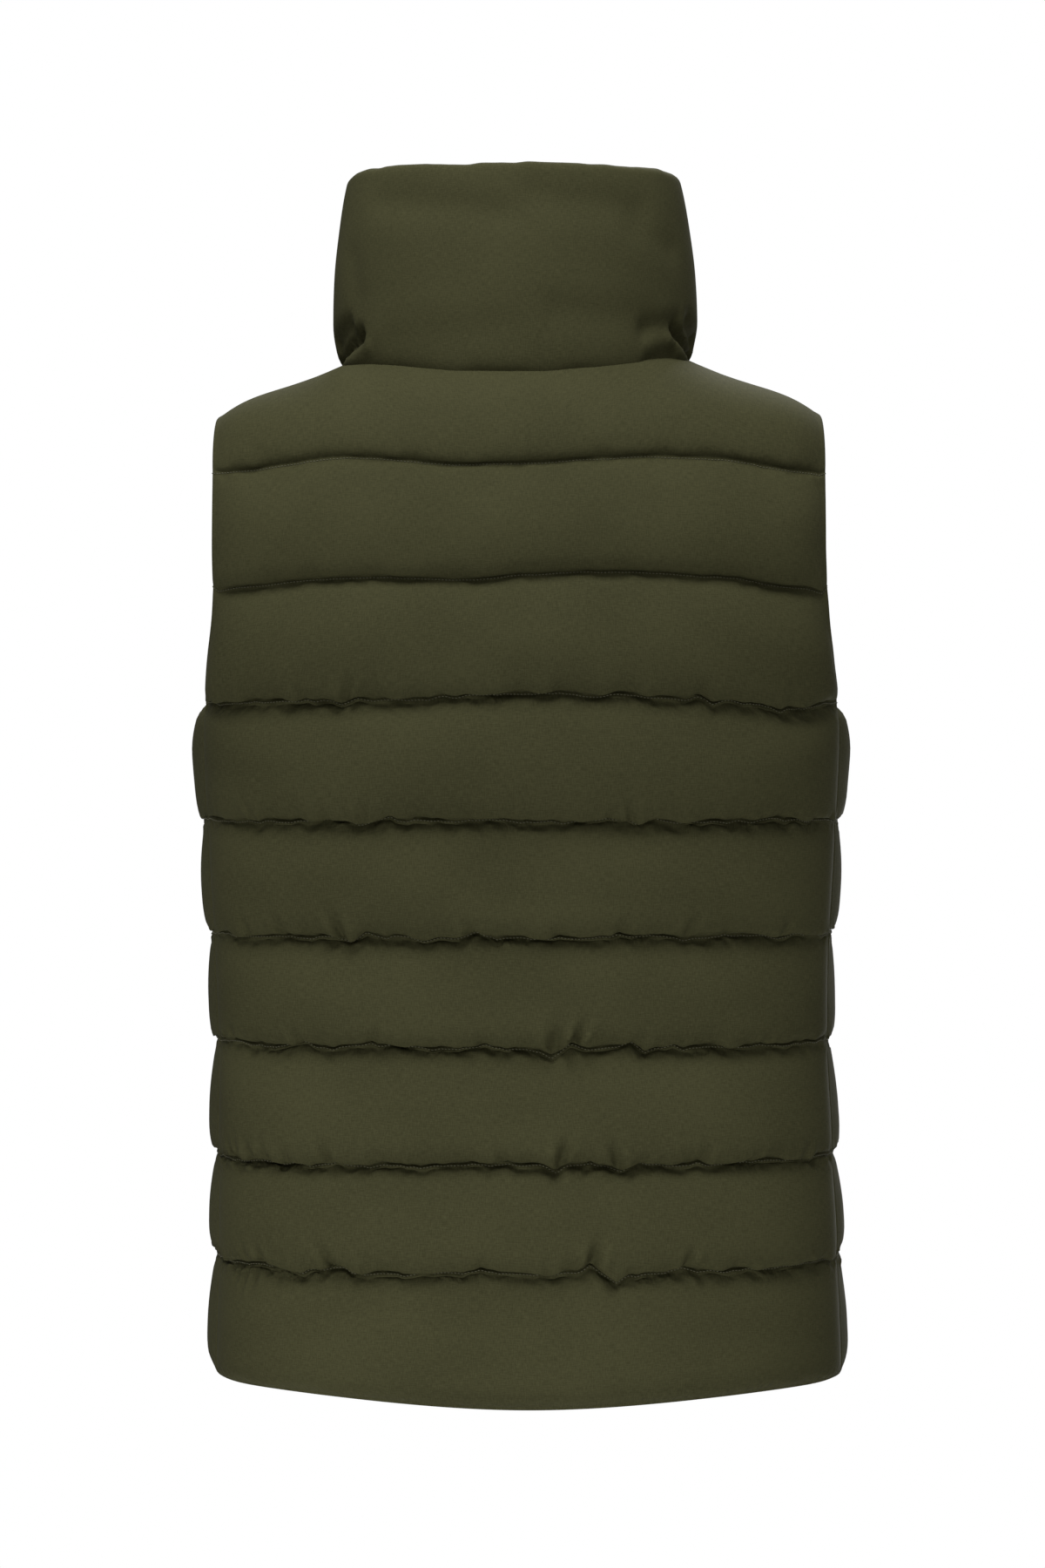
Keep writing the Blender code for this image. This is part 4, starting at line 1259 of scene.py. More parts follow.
@dataclass(frozen=True)
class SeamRelief:
    """The small relief pressed along each stitch row: a welt, two grooves and short ripples.

    Heights and widths are metres, and the lean of a ripple is how far sideways it runs for each
    metre away from the row. Seeds count from ten times the row; above the row, below it and on
    the fronts the curves differ.
    """

    upper: float = 0.35
    front_seed: int = 200
    above_seed: int = 300
    below_seed: int = 400
    uneven: Waver = Waver(1.0, 0.011, 0)
    welt: float = 0.0009
    welt_waver: Waver = Waver(1.0, 0.014, 303)
    welt_away: float = -0.0003
    welt_width: float = 0.0013
    welt_power: float = 4.0
    plain_side: float = 0.006
    side_reach: float = 0.020
    groove: float = 0.0009
    groove_away: float = 0.0019
    groove_width: float = 0.0005
    groove_uneven: float = 0.5
    lower_groove: Waver = Waver(1.0, 0.016, 5)
    fine: Waver = Waver(0.0008, 0.0036, 1)
    fine_lean: float = 1.1
    soft: Waver = Waver(0.0014, 0.0075, 2)
    soft_lean: float = -1.3
    ripple_core: float = 0.0022
    ripple_reach: float = 0.006
    ripple_uneven: float = 0.6

    def height(self, level: Level) -> np.ndarray:
        """How far the relief stands outwards at a level."""
        across, away = level.across, level.away
        strength = self.upper if level.upper else 1.0
        row_seed = 10 * level.row + (0 if level.side is Side.BACK else self.front_seed)
        seed = row_seed + (self.above_seed if away > 0 else self.below_seed)
        uneven = self.uneven.read(across, seed)
        to_side = (1 - np.abs(level.fractions)) * level.length
        raised = self.welt * (1 + self.welt_waver.read(across, row_seed))
        raised = raised * np.clip((to_side - self.plain_side) / self.side_reach, 0, 1)
        welt = bell(away - self.welt_away, self.welt_width, self.welt_power) * raised * strength
        groove = self.groove * bell(abs(away) - self.groove_away, self.groove_width) * strength**2
        if away <= 0:
            groove = groove * np.clip(self.lower_groove.read(across, seed), 0, 1)
        fine = self.fine.read(across + away * self.fine_lean, seed)
        soft = self.soft.read(across + away * self.soft_lean, seed)
        ripple = (fine + soft) * beside(away, self.ripple_core, self.ripple_reach) * strength
        ripple = ripple * (1 + self.ripple_uneven * uneven)
        return welt - groove * (1 + self.groove_uneven * uneven) + ripple


@dataclass(frozen=True)
class Gathering:
    """How tightly the cloth is gathered, from 0 to 1, which the shell's fine creases follow.

    It is tight beside the stitch rows, more so from tight_from to the left on the rows up to
    tight_rows, and at the hem and in the middle of the neck seam.
    """

    core: float = 0.0016
    reach: float = 0.0055
    mean: float = 0.42
    waver: Waver = Waver(0.58, 0.021, 6)
    upper: float = 0.25
    tight_rows: int = 2
    tight: float = 0.9
    tight_from: float = 0.125
    tight_over: float = 0.02
    hem: float = 0.5
    hem_reach: float = 0.007
    neck: float = 0.8
    yoke_height: float = 0.060
    neck_reach: float = 0.011
    neck_middle: float = -0.008
    neck_half: float = 0.030
    neck_power: float = 4.0

    def share(self, level: Level) -> np.ndarray:
        """How tightly the cloth is gathered at a level."""
        across = level.across
        strength = self.mean + self.waver.read(across, 10 * level.row)
        strength = strength * (self.upper if level.upper else 1)
        if level.row <= self.tight_rows:
            beyond = np.clip((across - self.tight_from) / self.tight_over, 0, 1)
            strength = strength + self.tight * beyond
        rows = np.clip(beside(level.away, self.core, self.reach) * strength, 0, 1)
        hem = self.hem * bell(level.above_hem, self.hem_reach)
        neck = bell((YOKE + 1 - level.height) * self.yoke_height, self.neck_reach)
        neck = neck * bell(across - self.neck_middle, self.neck_half, self.neck_power)
        return np.clip(rows + hem + self.neck * neck, 0, 1)


@dataclass
class QuiltedPanel:
    """A padded panel: a quilted outer sheet over a plain inner one, closed all round.

    channel_steps are the simulated rows' distances above a stitch row. edge_steps are the
    columns' distances from a side edge, measured at the stitch row edge_steps_row. The inner
    sheet takes every so many of the fine rows and columns.
    """

    name: str
    side: Side
    hand: Hand | None
    finishes: Finishes
    pinches: tuple[Pinch, ...]
    inflation: Inflation = Inflation()
    padding: Padding = Padding()
    folds: PinchedFolds = PinchedFolds()
    fall: Fall = Fall()
    relief: SeamRelief = SeamRelief()
    gathering: Gathering = Gathering()
    channel_steps: tuple[float, ...] = (
        0.0, 0.0013, 0.0023, 0.0042, 0.0080, 0.0140, 0.0220, 0.0310, 0.0400, 0.0480, 0.0550,
        0.0600, 0.0630, 0.0643,
    )
    edge_steps: tuple[float, ...] = (0.0, 0.0012, 0.0032, 0.0062)
    edge_steps_row: int = 5
    neck_columns: int = 42
    shoulder_columns: int = 46
    hem_height: float = 0.078
    yoke_height: float = 0.060
    edge_radius: float = 0.0022
    edge_thickness: float = 0.0010
    plain_edge: float = 0.006
    slack: float = 1.01
    gather_reach: float = 0.007
    start_folds: float = 0.5
    smoothing: int = 40
    smooth_from: float = 0.003
    smooth_over: float = 0.013
    inner_every: tuple[int, int] = (7, 8)
    stitch_pitch: float = 0.0020
    stitch_size: Triple = (0.00078, 0.00040, 0.00034)
    stitch_lift: float = 0.0001
    outer: np.ndarray = field(init=False)
    normals: np.ndarray = field(init=False)

    def heights(self) -> np.ndarray:
        """Heights of the simulated rows, closer together beside the stitch rows."""
        steps = np.array(self.channel_steps) / CHANNEL
        return np.append(np.concatenate([steps + row for row in range(YOKE + 1)]), YOKE + 1.0)

    def zip_fraction(self) -> float:
        """The fraction of a front's half girth at which it stops beside the zip."""
        return ZIP_EDGE / FORM.half_length(self.side, 0.0)

    def fractions(self) -> np.ndarray:
        """Places of the simulated columns, closer together at the panel's edges."""
        share = FORM.neck_share(self.side)
        near = np.array(self.edge_steps) / FORM.half_length(self.side, self.edge_steps_row)
        shoulder = np.linspace(share, 1 - near[-1], self.shoulder_columns - 2)
        last = 1 - near[-2::-1]
        if self.hand is None:
            neck = np.linspace(0, share, self.neck_columns + 1)
            left = np.concatenate((neck[:-1], shoulder, last))
            return np.concatenate((-left[:0:-1], left))
        first = self.zip_fraction()
        neck = np.linspace(first + near[-1], share, self.neck_columns - 2)
        return self.hand.value * np.concatenate((first + near[:-1], neck[:-1], shoulder, last))

    def edges(self) -> tuple[float, ...]:
        """Fractions of the panel's two side edges."""
        if self.hand is None:
            return (-1.0, 1.0)
        return (float(self.hand.value), self.hand.value * self.zip_fraction())

    def edge_distance(self, grid: Grid) -> np.ndarray:
        """Distance of each point of a grid from the panel's nearest cut edge."""
        to_top = (YOKE + 1 - grid.heights) * self.yoke_height
        up = np.clip(np.minimum(grid.heights * self.hem_height, to_top), 0, None)
        sides = (grid.fill(lambda level: level.to_edge(edge)) for edge in self.edges())
        return np.minimum(up[:, None], np.minimum(*sides))

    def base(self, grid: Grid) -> np.ndarray:
        """The cloth pressed flat: the plain form moved out by the wall, rounded at its edges."""
        near = np.clip(self.edge_distance(grid) / self.edge_radius, 0, 1)
        rounded = np.sqrt(1 - (1 - near) ** 2)
        offset = self.edge_thickness + (WALL - self.edge_thickness) * rounded
        return grid.skin() + grid.normals() * offset[..., None]

    def left(self, grid: Grid) -> np.ndarray:
        """The share of the swell that the pinched folds leave on a grid."""
        return grid.fill(lambda level: self.folds.left(level, self.pinches))

    def cut(self, padded: np.ndarray, levels: Sequence[Level]) -> np.ndarray:
        """The cloth at the size it was cut: as the padded sheet, but wider where gathered."""
        fullness = np.array([STITCH_ROWS[level.row].gather - 1 for level in levels])
        away = np.array([abs(level.away) for level in levels])
        wide = 1 + fullness * np.exp(-away / self.gather_reach)
        return padded * np.stack((wide, wide, np.full_like(wide, self.slack)), -1)[:, None, :]

    def smoothed(self, moved: np.ndarray, levels: Sequence[Level]) -> np.ndarray:
        """The swell with its streaks smoothed along the channel, away from the stitch rows."""
        smooth = moved.copy()
        for _ in range(self.smoothing):
            smooth[:, 1:-1] = (smooth[:, :-2] + 2 * smooth[:, 1:-1] + smooth[:, 2:]) / 4
        away = np.array([abs(level.away) for level in levels])
        share = np.clip((away - self.smooth_from) / self.smooth_over, 0, 1)[:, None, None]
        return moved + (smooth - moved) * share

    def pinned(self, rows: int, columns: int) -> np.ndarray:
        """Which points of the simulated sheet are sewn down: its border and its stitch rows."""
        found = np.zeros((rows, columns), bool)
        found[:, (0, -1)] = True
        found[(0, -1), :] = True
        spacing = len(self.channel_steps)
        for step in (-1, 0, 1):
            found[spacing + step : -2 : spacing] = True
        return found

    def inflated(self, grid: Grid) -> np.ndarray:
        """How far each point of the coarse sheet moves when the panel is blown up."""
        base, out = self.base(grid), grid.normals()
        swell = grid.fill(lambda level: self.padding.swell(level, self.edges()))
        left = 1 - self.start_folds * (1 - self.left(grid))
        start = base + out * (swell * left)[..., None]
        cut = self.cut(base + out * swell[..., None], grid.levels)
        pinned = self.pinned(*swell.shape)
        posed = self.inflation.run(self.name + "_sheet", start, cut, pinned)
        return self.smoothed(posed - base, grid.levels)

    def drop(self, level: Level) -> np.ndarray:
        """How far the cloth hangs down at a level, with its folds' dips."""
        return self.fall.drop(level, self.folds.dips(level, self.pinches))

    def lay_outer(self, moved: np.ndarray, grid: Grid) -> None:
        """Works out the outer sheet's points from its swell and the detail along its seams."""
        edge = np.clip(self.edge_distance(grid) / self.plain_edge, 0, 1)
        relief = grid.fill(self.relief.height) * edge
        self.normals = grid.normals()
        self.outer = self.base(grid) + moved * self.left(grid)[..., None]
        self.outer += self.normals * relief[..., None]
        self.outer[..., 2] -= grid.fill(self.drop) * edge

    def build(self) -> bpy.types.Object:
        """Simulates, refines and closes the panel.

        Returns:
            The finished piece, which replaces its solid.
        """
        coarse = Grid(self.side, self.fractions(), self.heights())
        fine = coarse.finer()
        self.lay_outer(between(between(self.inflated(coarse), 0), 1), fine)
        mesh = bmesh.new()
        layer = mesh.verts.layers.float.new(GATHERS)
        verts = lay_sheet(mesh, self.outer, fine.flat())
        for vertex, share in zip(verts.flat, fine.fill(self.gathering.share).flat):
            vertex[layer] = share
        inner = fine.coarser(*self.inner_every)
        lay_sheet(mesh, inner.skin(), inner.flat())
        close_wall(mesh)
        piece = finish_mesh(self.name + "_quilted", mesh, self.finishes.shell)
        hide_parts(self.name)
        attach(piece, "vest")
        return piece

    def stitches(self) -> bpy.types.Object:
        """Sews every stitch row with short raised stitches.

        Returns:
            One piece that holds them all.
        """
        frames = []
        for number in range(1, YOKE + 1):
            line = number * 2 * len(self.channel_steps)
            places, ahead, normal = along_line(
                self.outer[line], self.normals[line], self.stitch_pitch
            )
            lifted = places + normal * self.stitch_lift
            frames.append(np.stack((ahead, np.cross(normal, ahead), normal, lifted), axis=-1))
        shape = bmesh.new()
        bmesh.ops.create_icosphere(shape, subdivisions=1, radius=1)
        bmesh.ops.scale(shape, vec=self.stitch_size, verts=shape.verts)
        made = np.concatenate(frames)
        piece = repeated(self.name + "_stitches", shape, made, self.finishes.thread)
        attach(piece, "vest")
        return piece


# ---- collar -------------------------------------------------------------------------------
@dataclass(frozen=True)
class Swell:
    """The collar's padding at a height: at the back and sides, and at the front."""

    height: float
    back: float
    front: float


@dataclass(frozen=True)
class CollarFold:
    """A soft trough in the collar's padding along a line; a negative depth is a ridge.

    Angles are in degrees from the centre back, heights are shares of the collar's height, and
    width and depth are in metres.
    """

    start_angle: float
    start_height: float
    end_angle: float
    end_height: float
    width: float
    depth: float


COLLAR_FOLDS = (
    CollarFold(86, 0.04, 58, 0.17, 0.0030, 0.0080),
    CollarFold(82, 0.13, 66, 0.20, 0.0050, 0.0050),
    CollarFold(80, 0.01, 54, 0.12, 0.0032, -0.0020),
    CollarFold(96, 0.05, 112, 0.16, 0.0045, 0.0040),
    CollarFold(-84, 0.05, -62, 0.17, 0.0028, 0.0080),
    CollarFold(-84, 0.13, -72, 0.20, 0.0050, 0.0050),
    CollarFold(-76, 0.02, -58, 0.13, 0.0030, -0.0016),
    CollarFold(-62, 0.20, -46, 0.18, 0.0050, 0.0030),
    CollarFold(-60, 0.08, -48, 0.05, 0.0042, 0.0024),
    CollarFold(-98, 0.06, -114, 0.18, 0.0045, 0.0040),
    CollarFold(50, 0.80, 5, 0.74, 0.0100, 0.0022),
    CollarFold(-8, 0.82, -46, 0.76, 0.0110, 0.0026),
    CollarFold(-44, 0.66, -60, 0.56, 0.0100, 0.0018),
    CollarFold(42, 0.16, 0, 0.20, 0.0090, 0.0016),
    CollarFold(-14, 0.26, -46, 0.20, 0.0100, 0.0022),
    CollarFold(64, 0.52, 60, 0.34, 0.0090, 0.0014),
    CollarFold(134, 0.34, 156, 0.14, 0.0065, 0.0024),
    CollarFold(-130, 0.30, -152, 0.12, 0.0065, 0.0024),
    CollarFold(118, 0.72, 150, 0.66, 0.0100, 0.0020),
    CollarFold(-116, 0.78, -148, 0.68, 0.0100, 0.0020),
)


@dataclass
class StandCollar:
    """A tall padded band round the neck, open at the front for the zip.

    Heights are shares of the collar's height, angles are radians from the centre back, and
    radius and tall turn both into lengths on the cloth.
    """

    finishes: Finishes
    top_half_width: float = 0.0885
    top_shift: float = 0.0032
    back_top: Pair = (0.058, 0.1140)
    side_top: float = 0.1165
    front_top: Pair = (-0.090, 0.0920)
    bow: float = 0.003
    swells: tuple[Swell, ...] = (
        Swell(0.00, 0.0000, 0.0000),
        Swell(0.02, 0.0058, 0.0010),
        Swell(0.08, 0.0098, 0.0062),
        Swell(0.22, 0.0114, 0.0112),
        Swell(0.46, 0.0112, 0.0112),
        Swell(0.68, 0.0104, 0.0104),
        Swell(0.85, 0.0098, 0.0098),
        Swell(1.00, 0.0088, 0.0088),
    )
    radius: float = 0.095
    tall: float = 0.116
    front_start: float = 1.40
    front_turn: float = 0.50
    foot_thickness: float = 0.001
    foot_rise: float = 0.028
    foot_gap: float = 0.05
    lean: float = 0.8
    lean_height: float = 0.15
    seam_height: float = 0.01
    at_zip: float = 0.25
    cap_start: float = 0.945
    cap_height: float = 0.052
    low_rows: tuple[float, ...] = (0.0, 0.004, 0.010, 0.018, 0.028, 0.04, 0.055, 0.075)
    outer_start: float = 0.10
    outer_rows: int = 36
    cap_rows: int = 10
    inner_rows: int = 14
    columns: int = 361
    zip_columns: tuple[float, ...] = (0.0, 0.010, 0.026, 0.05)
    folds: tuple[CollarFold, ...] = COLLAR_FOLDS
    wave_radius: float = 0.09
    top_waves: tuple[Waver, ...] = (Waver(0.0008, 0.026, 901), Waver(0.0007, 0.009, 902))
    wave_from: float = 0.9
    droop: float = 0.0115
    droop_rise: float = 0.03
    droop_height: float = 0.40
    droop_wave: Waver = Waver(0.25, 0.016, 903)
    less_in_front: float = 0.8

    def top(self, angle: np.ndarray) -> np.ndarray:
        """The collar's top edge, by angle from the centre back."""
        at_back = np.abs(angle) < pi / 2
        end = np.where(at_back, self.back_top[1], self.front_top[1])
        level = self.side_top + (end - self.side_top) * np.cos(angle) ** 2
        depth = np.where(at_back, self.back_top[0], -self.front_top[0]) * np.cos(angle)
        across = self.top_half_width * np.sin(angle) + self.top_shift
        return np.stack((across, depth, level), axis=-1)

    def row(self, angle: np.ndarray, height: float) -> np.ndarray:
        """One row of the collar's inner face, from the neck seam at 0 to the top at 1."""
        foot = FORM.neck_point(angle)
        out = unit(foot * (1, 1, 0))
        bowed = out * self.bow * 4 * height * (1 - height)
        return foot + (self.top(angle) - foot) * height + bowed

    def outward(self, angle: np.ndarray, height: float) -> np.ndarray:
        """Outward directions of the collar's inner face."""
        step = 1e-3
        up = self.row(angle, height + step) - self.row(angle, height - step)
        along = self.row(angle + step, height) - self.row(angle - step, height)
        return unit(np.cross(up, along))

    def seam_outward(self, angle: np.ndarray) -> np.ndarray:
        """Outward directions of the panels' top edges round the neck seam."""
        found = np.empty((len(angle), 3))
        for side in Side:
            turned = np.abs(angle) if side is Side.BACK else pi - np.abs(angle)
            fractions = np.where(angle < 0, -1, 1) * turned / (pi / 2) * FORM.neck_share(side)
            here = turned <= pi / 2 + 1e-9
            top = np.array([YOKE + 1 - 1e-3])
            found[here] = FORM.normals(side, fractions[here], top)[0]
        return found

    def last_angle(self) -> float:
        """The angle at which the collar stops beside the zip."""
        first = ZIP_EDGE / FORM.half_length(Side.FRONT, 0.0)
        return float(pi - first / FORM.neck_share(Side.FRONT) * pi / 2)

    def angles(self) -> np.ndarray:
        """Angles of the columns, closer together beside the zip."""
        near = self.last_angle() - np.array(self.zip_columns)
        half = (self.columns - 1) // 2
        left = np.concatenate((np.linspace(0, near[-1], half - 2), near[-2::-1]))
        return np.concatenate((-left[:0:-1], left))

    def creased(self, angle: np.ndarray, height: float) -> np.ndarray:
        """How far the folds press the padding in at a height."""
        scale = np.array((self.radius, self.tall))
        x, y = angle * self.radius, height * self.tall
        found = np.zeros_like(angle)
        for fold in self.folds:
            start = np.array((radians(fold.start_angle), fold.start_height)) * scale
            span = np.array((radians(fold.end_angle), fold.end_height)) * scale - start
            share = ((x - start[0]) * span[0] + (y - start[1]) * span[1]) / (span @ span)
            share = np.clip(share, 0, 1)
            away = np.hypot(x - start[0] - share * span[0], y - start[1] - share * span[1])
            found += fold.depth * bell(away, fold.width)
        return found

    def profile(self) -> list[Pair]:
        """Rows of the band as (height, share of the thickness): up the outside, down the inside."""
        outside = np.append(
            self.low_rows, np.linspace(self.outer_start, self.cap_start, self.outer_rows)
        )
        turn = np.linspace(0, pi, self.cap_rows + 2)[1:-1]
        cap = [(self.cap_start + self.cap_height * np.sin(a), (1 + np.cos(a)) / 2) for a in turn]
        inside = np.linspace(self.cap_start, 0.0, self.inner_rows)
        return [(h, 1.0) for h in outside] + cap + [(h, 0.0) for h in inside]

    def in_front(self, angle: np.ndarray) -> np.ndarray:
        """How far round to the front each angle is, from 0 at the back and sides to 1."""
        return np.clip((np.abs(angle) - self.front_start) / self.front_turn, 0, 1)

    def thickness(self, angle: np.ndarray, height: float) -> np.ndarray:
        """The band's whole thickness at a height: its wall and its creased padding."""
        front = self.in_front(angle)
        to_zip = (self.last_angle() - np.abs(angle)) * self.top_half_width
        near = np.clip(to_zip / ZIP_TAPER, 0, 1)
        fullness = self.at_zip + (1 - self.at_zip) * (1 - (1 - near) ** 2)
        swell = read_table(self.swells, "height", "back", height)
        swell = swell + (read_table(self.swells, "height", "front", height) - swell) * front
        rise = min(height / self.foot_rise, 1)
        round_foot = np.sqrt(1 - (1 - rise) ** 2)
        wall = self.foot_thickness + (WALL - self.foot_thickness) * round_foot
        return wall + np.clip(swell * fullness - self.creased(angle, height), 0, None)

    def wall_row(
        self, angle: np.ndarray, seam: np.ndarray, height: float, share: float
    ) -> np.ndarray:
        """One row of the band's wall.

        Args:
            angle: Places round the neck.
            seam: Outward directions at the neck seam, which the foot follows.
            height: Height as a share of the collar's.
            share: Share of the thickness at which the row lies.

        Returns:
            The row's points.
        """
        front = self.in_front(angle)
        lean = front * max(1 - height / self.lean_height, 0) * self.lean
        lean = np.maximum(lean, max(1 - height / self.seam_height, 0))[:, None]
        plain = self.outward(angle, height)
        direction = unit(plain + (seam - plain) * lean)
        thick = self.thickness(angle, height) * share
        points = self.row(angle, height) + direction * thick[:, None]
        along = angle * self.wave_radius
        wave = sum(waver.read(along) for waver in self.top_waves)
        points[:, 2] += wave * max(0.0, (height - self.wave_from) / (1 - self.wave_from))
        risen = eased(min(height / self.droop_rise, 1))
        droop = self.droop * risen * max(1 - height / self.droop_height, 0) ** 2
        droop = droop * (1 - self.less_in_front * front) * share
        points[:, 2] -= droop * (1 + self.droop_wave.read(along))
        points[:, 2] += SEAM_GAP * max(1 - height / self.foot_gap, 0)
        return points

    def build(self) -> bpy.types.Object:
        """Builds the padded band as one closed wall.

        Returns:
            The finished piece, which replaces its solid.
        """
        angle = self.angles()
        seam = self.seam_outward(angle)
        grid = np.stack([self.wall_row(angle, seam, *place) for place in self.profile()])
        lengths = np.linalg.norm(np.diff(grid, axis=0), axis=-1).mean(axis=1)
        up = np.append(0, np.cumsum(lengths))
        flat = np.stack(np.meshgrid(angle * self.radius, up), axis=-1)
        mesh = bmesh.new()
        verts = lay_sheet(mesh, grid, flat)
        foot = set(verts[0]) | set(verts[-1])
        chains = [e for e in mesh.edges if e.is_boundary and foot.issuperset(e.verts)]
        bmesh.ops.bridge_loops(mesh, edges=chains)
        ends = [edge for edge in mesh.edges if edge.is_boundary]
        bmesh.ops.holes_fill(mesh, edges=ends, sides=0)
        piece = finish_mesh("collar_padded", mesh, self.finishes.shell)
        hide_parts("collar")
        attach(piece, "vest")
        return piece


# ---- zip ----------------------------------------------------------------------------------
@dataclass
class ZipFastening:
    """The front zip: two tapes, closed teeth, the box at the hem, the slider and its pull."""

    finishes: Finishes
    collar: StandCollar
    tape_width: float = 0.016
    tape_thickness: float = 0.0009
    tape_columns: int = 9
    front_rows: int = 150
    collar_rows: int = 28
    collar_span: Pair = (0.04, 0.985)
    box_height: float = 0.0120
    slider_low: float = 0.0669
    tooth_pitch: float = 0.00145
    tooth: Triple = (0.0034, 0.0022, 0.0011)
    tooth_aside: float = 0.0011
    tooth_head: Triple = (1, 0.86, 1.12)
    tooth_bevel: float = 0.0002

    def line(self, across: Sequence[float]) -> tuple[np.ndarray, np.ndarray]:
        """The inner face of the fronts and the collar beside the zip, with outward directions.

        Args:
            across: Distances from the centre front, negative to the right.

        Returns:
            Rows of points and of unit vectors, from the hem to the collar's top.
        """
        places = np.array(across, float)
        heights = np.linspace(0, YOKE + 1, self.front_rows)
        fractions = places / FORM.half_length(Side.FRONT, 0.0)
        points = list(FORM.skin(Side.FRONT, fractions, heights))
        normals = list(FORM.normals(Side.FRONT, fractions, heights))
        angle = np.where(places < 0, -1, 1) * (pi - np.abs(places) / self.collar.top_half_width)
        for height in np.linspace(*self.collar_span, self.collar_rows):
            points.append(self.collar.row(angle, height))
            normals.append(self.collar.outward(angle, height))
        return np.stack(points), np.stack(normals)

    def tape(self, hand: Hand) -> bpy.types.Object:
        """One woven tape, sewn flat behind its front's edge."""
        inner, outer = SEAM_GAP / 2, self.tape_width
        across = np.linspace(inner, outer, self.tape_columns) * hand.value
        points, normals = self.line(across)
        up = distance_along(points[:, self.tape_columns // 2])
        flat = np.stack(np.meshgrid(across, up), axis=-1)
        mesh = bmesh.new()
        for depth in (SEAM_GAP, SEAM_GAP + self.tape_thickness):
            lay_sheet(mesh, points - normals * depth, flat)
        close_wall(mesh)
        name = "zip_tape_" + hand.name.lower()
        piece = finish_mesh(name + "_woven", mesh, self.finishes.tape)
        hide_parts(name)
        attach(piece, "vest")
        return piece

    def tooth_shape(self) -> bmesh.types.BMesh:
        """One moulded tooth about its own origin, its head towards -X."""
        shape = bmesh.new()
        bmesh.ops.create_cube(shape, size=1)
        bmesh.ops.scale(shape, vec=self.tooth, verts=shape.verts)
        head = [vertex for vertex in shape.verts if vertex.co.x < 0]
        bmesh.ops.scale(shape, vec=self.tooth_head, verts=head)
        bmesh.ops.bevel(
            shape,
            geom=list(shape.edges),
            offset=self.tooth_bevel,
            segments=1,
            profile=0.5,
            affect="EDGES",
            material=-1,
        )
        return shape

    def teeth(self) -> bpy.types.Object:
        """The closed chain: moulded teeth that mesh from alternate sides."""
        points, normals = self.line([0.0])
        level = points[:, 0, 2]
        keep = (level > level[0] + self.box_height) & (level < self.slider_low)
        places, upward, normal = along_line(points[keep, 0], normals[keep, 0], self.tooth_pitch)
        side = np.where(np.arange(len(places)) % 2, 1.0, -1.0)[:, None]
        aside = np.cross(upward, normal) * side
        middle = places + normal * (self.tooth[1] / 2) + aside * self.tooth_aside
        frames = np.stack((aside, normal, upward, middle), axis=-1)
        piece = repeated("zip_teeth_closed", self.tooth_shape(), frames, self.finishes.teeth)
        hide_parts("zip_chain")
        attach(piece, "vest")
        return piece

    def fittings(self) -> None:
        """Gives the box, the slider and its pull their finishes."""
        for node, finish in (
            ("zip_box", self.finishes.teeth),
            ("zip_slider", self.finishes.metal),
            ("zip_pull", self.finishes.metal),
        ):
            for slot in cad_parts[node].material_slots:
                slot.material = finish


# ---- studio -------------------------------------------------------------------------------
def shown_to_camera(
    tree: bpy.types.NodeTree, plain: bpy.types.Node, bright: bpy.types.Node, target: str
) -> None:
    """Shows the camera one shader directly, while everything else is lit by another.

    Args:
        tree: The node tree.
        plain: The shader that lights the scene.
        bright: The shader that the camera sees.
        target: Name of the tree's output node.
    """
    mix = tree.nodes.new("ShaderNodeMixShader")
    seen = tree.nodes.new("ShaderNodeLightPath").outputs["Is Camera Ray"]
    for index, socket in enumerate((seen, plain.outputs[0], bright.outputs[0])):
        tree.links.new(socket, mix.inputs[index])
    tree.links.new(mix.outputs[0], tree.nodes[target].inputs["Surface"])


@dataclass(frozen=True)
class SoftLight:
    """A square studio light."""

    name: str
    place: Triple
    size: float
    watts: float

    def build(self, aim: Vector) -> None:
        """Hangs the light so that it faces a point."""
        lamp = bpy.data.lights.new(self.name, "AREA")
        lamp.size = self.size
        lamp.energy = self.watts
        made = bpy.data.objects.new(self.name, lamp)
        made.location = self.place
        made.rotation_mode = "QUATERNION"
        made.rotation_quaternion = (aim - Vector(self.place)).to_track_quat("-Z", "Y")
        bpy.context.scene.collection.objects.link(made)


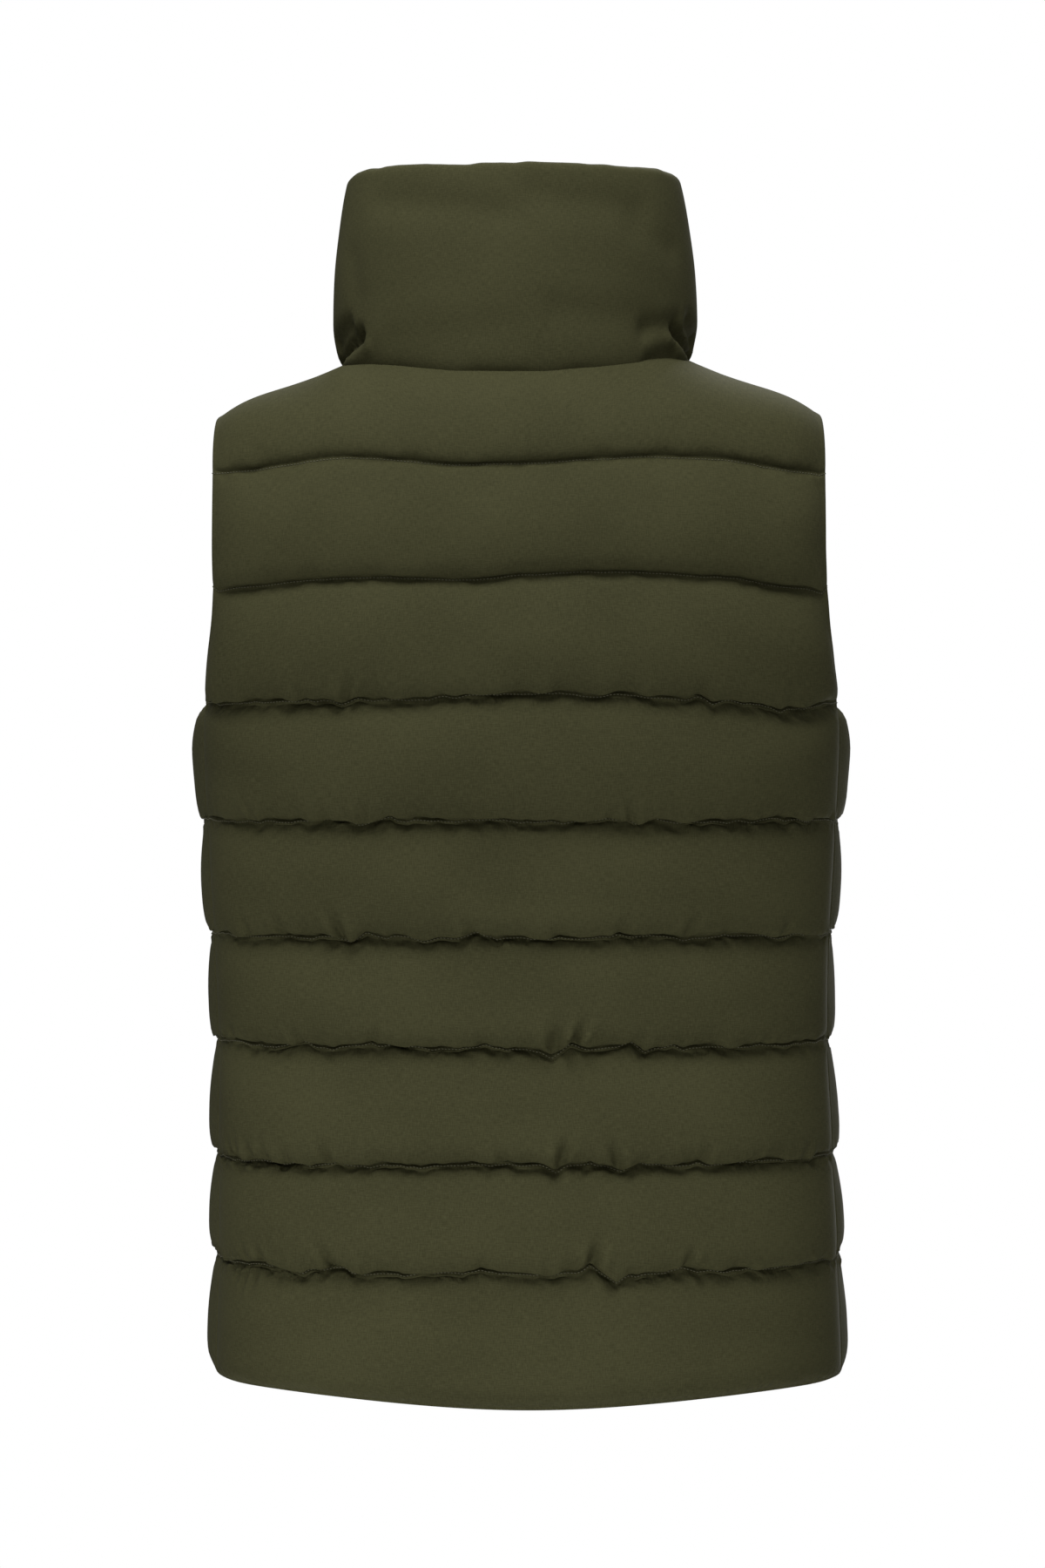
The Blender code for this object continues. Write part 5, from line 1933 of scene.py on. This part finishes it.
@dataclass(frozen=True)
class Studio:
    """A pale floor, even white surroundings, soft lights and the camera behind the vest."""

    floor_level: float = -1.05
    floor_size: float = 30.0
    floor_roughness: float = 0.9
    bounce: float = 0.50
    surround: float = 0.34
    camera_place: Triple = (-0.0021, 2.1, -0.252)
    lens: float = 79.25
    sensor: float = 36.0
    furthest: float = 100.0
    aim: Triple = (0.0, 0.0, -0.25)
    lights: tuple[SoftLight, ...] = (
        SoftLight("key", (0.20, 0.90, 1.50), 0.9, 30.0),
        SoftLight("low_left", (0.32, 0.70, -0.95), 0.35, 2.4),
        SoftLight("low_right", (-0.15, 0.70, -0.95), 0.35, 0.7),
        SoftLight("front_key", (-0.30, -1.50, 1.50), 1.0, 33.0),
        SoftLight("front_fill", (-0.60, -1.70, -0.70), 1.0, 12.0),
    )

    def floor(self) -> None:
        """Lays the floor, which the camera sees as plain white."""
        mesh = bmesh.new()
        bmesh.ops.create_grid(mesh, x_segments=2, y_segments=2, size=self.floor_size / 2)
        bmesh.ops.translate(mesh, vec=(0, 0, self.floor_level), verts=mesh.verts)
        made = as_object("floor", mesh)
        recipe = Recipe("pale_floor")
        recipe.surface(
            Base_Color=(self.bounce, self.bounce, self.bounce, 1.0),
            Roughness=self.floor_roughness,
        )
        glow = recipe.node("Emission", Color=(1.0, 1.0, 1.0, 1.0), Strength=1.0)
        shown_to_camera(recipe.tree, recipe.shader, glow, "Material Output")
        made.data.materials.append(recipe.material)

    def surroundings(self) -> None:
        """Fills the room with even white light, brighter where the camera sees it directly."""
        world = bpy.data.worlds.new("white_room")
        bpy.context.scene.world = world
        world.use_nodes = True
        dim = world.node_tree.nodes["Background"]
        bright = world.node_tree.nodes.new("ShaderNodeBackground")
        for shader, strength in ((dim, self.surround), (bright, 1.0)):
            shader.inputs["Color"].default_value = (1, 1, 1, 1)
            shader.inputs["Strength"].default_value = strength
        shown_to_camera(world.node_tree, dim, bright, "World Output")

    def camera(self) -> None:
        """Sets the camera level behind the vest."""
        lens = bpy.data.cameras.new("camera")
        lens.lens = self.lens
        lens.sensor_width = self.sensor
        lens.clip_end = self.furthest
        made = bpy.data.objects.new("camera", lens)
        made.location = self.camera_place
        made.rotation_euler = (pi / 2, 0, pi)
        bpy.context.scene.collection.objects.link(made)
        bpy.context.scene.camera = made

    def build(self) -> None:
        """Sets up everything that isn't part of the vest."""
        self.floor()
        self.surroundings()
        for light in self.lights:
            light.build(Vector(self.aim))
        self.camera()
        bpy.context.scene.view_settings.view_transform = "Standard"


def main() -> None:
    """Builds the studio and every piece of the vest."""
    logging.basicConfig(level=logging.INFO, format="%(message)s")
    Studio().build()
    finishes = Finishes.build()
    fronts = FrontPinches().build()
    panels = (
        QuiltedPanel("back", Side.BACK, None, finishes, BACK_PINCHES),
        QuiltedPanel("front_left", Side.FRONT, Hand.LEFT, finishes, fronts),
        QuiltedPanel("front_right", Side.FRONT, Hand.RIGHT, finishes, fronts),
    )
    made = []
    for panel in panels:
        made += [panel.build(), panel.stitches()]
    collar = StandCollar(finishes)
    fastening = ZipFastening(finishes, collar)
    made.append(collar.build())
    made += [fastening.tape(hand) for hand in Hand]
    made.append(fastening.teeth())
    fastening.fittings()
    for piece in made:
        triangles = sum(len(face.vertices) - 2 for face in piece.data.polygons)
        LOG.info("%s: %d triangles", piece.name, triangles)


if __name__ == "__main__":
    main()
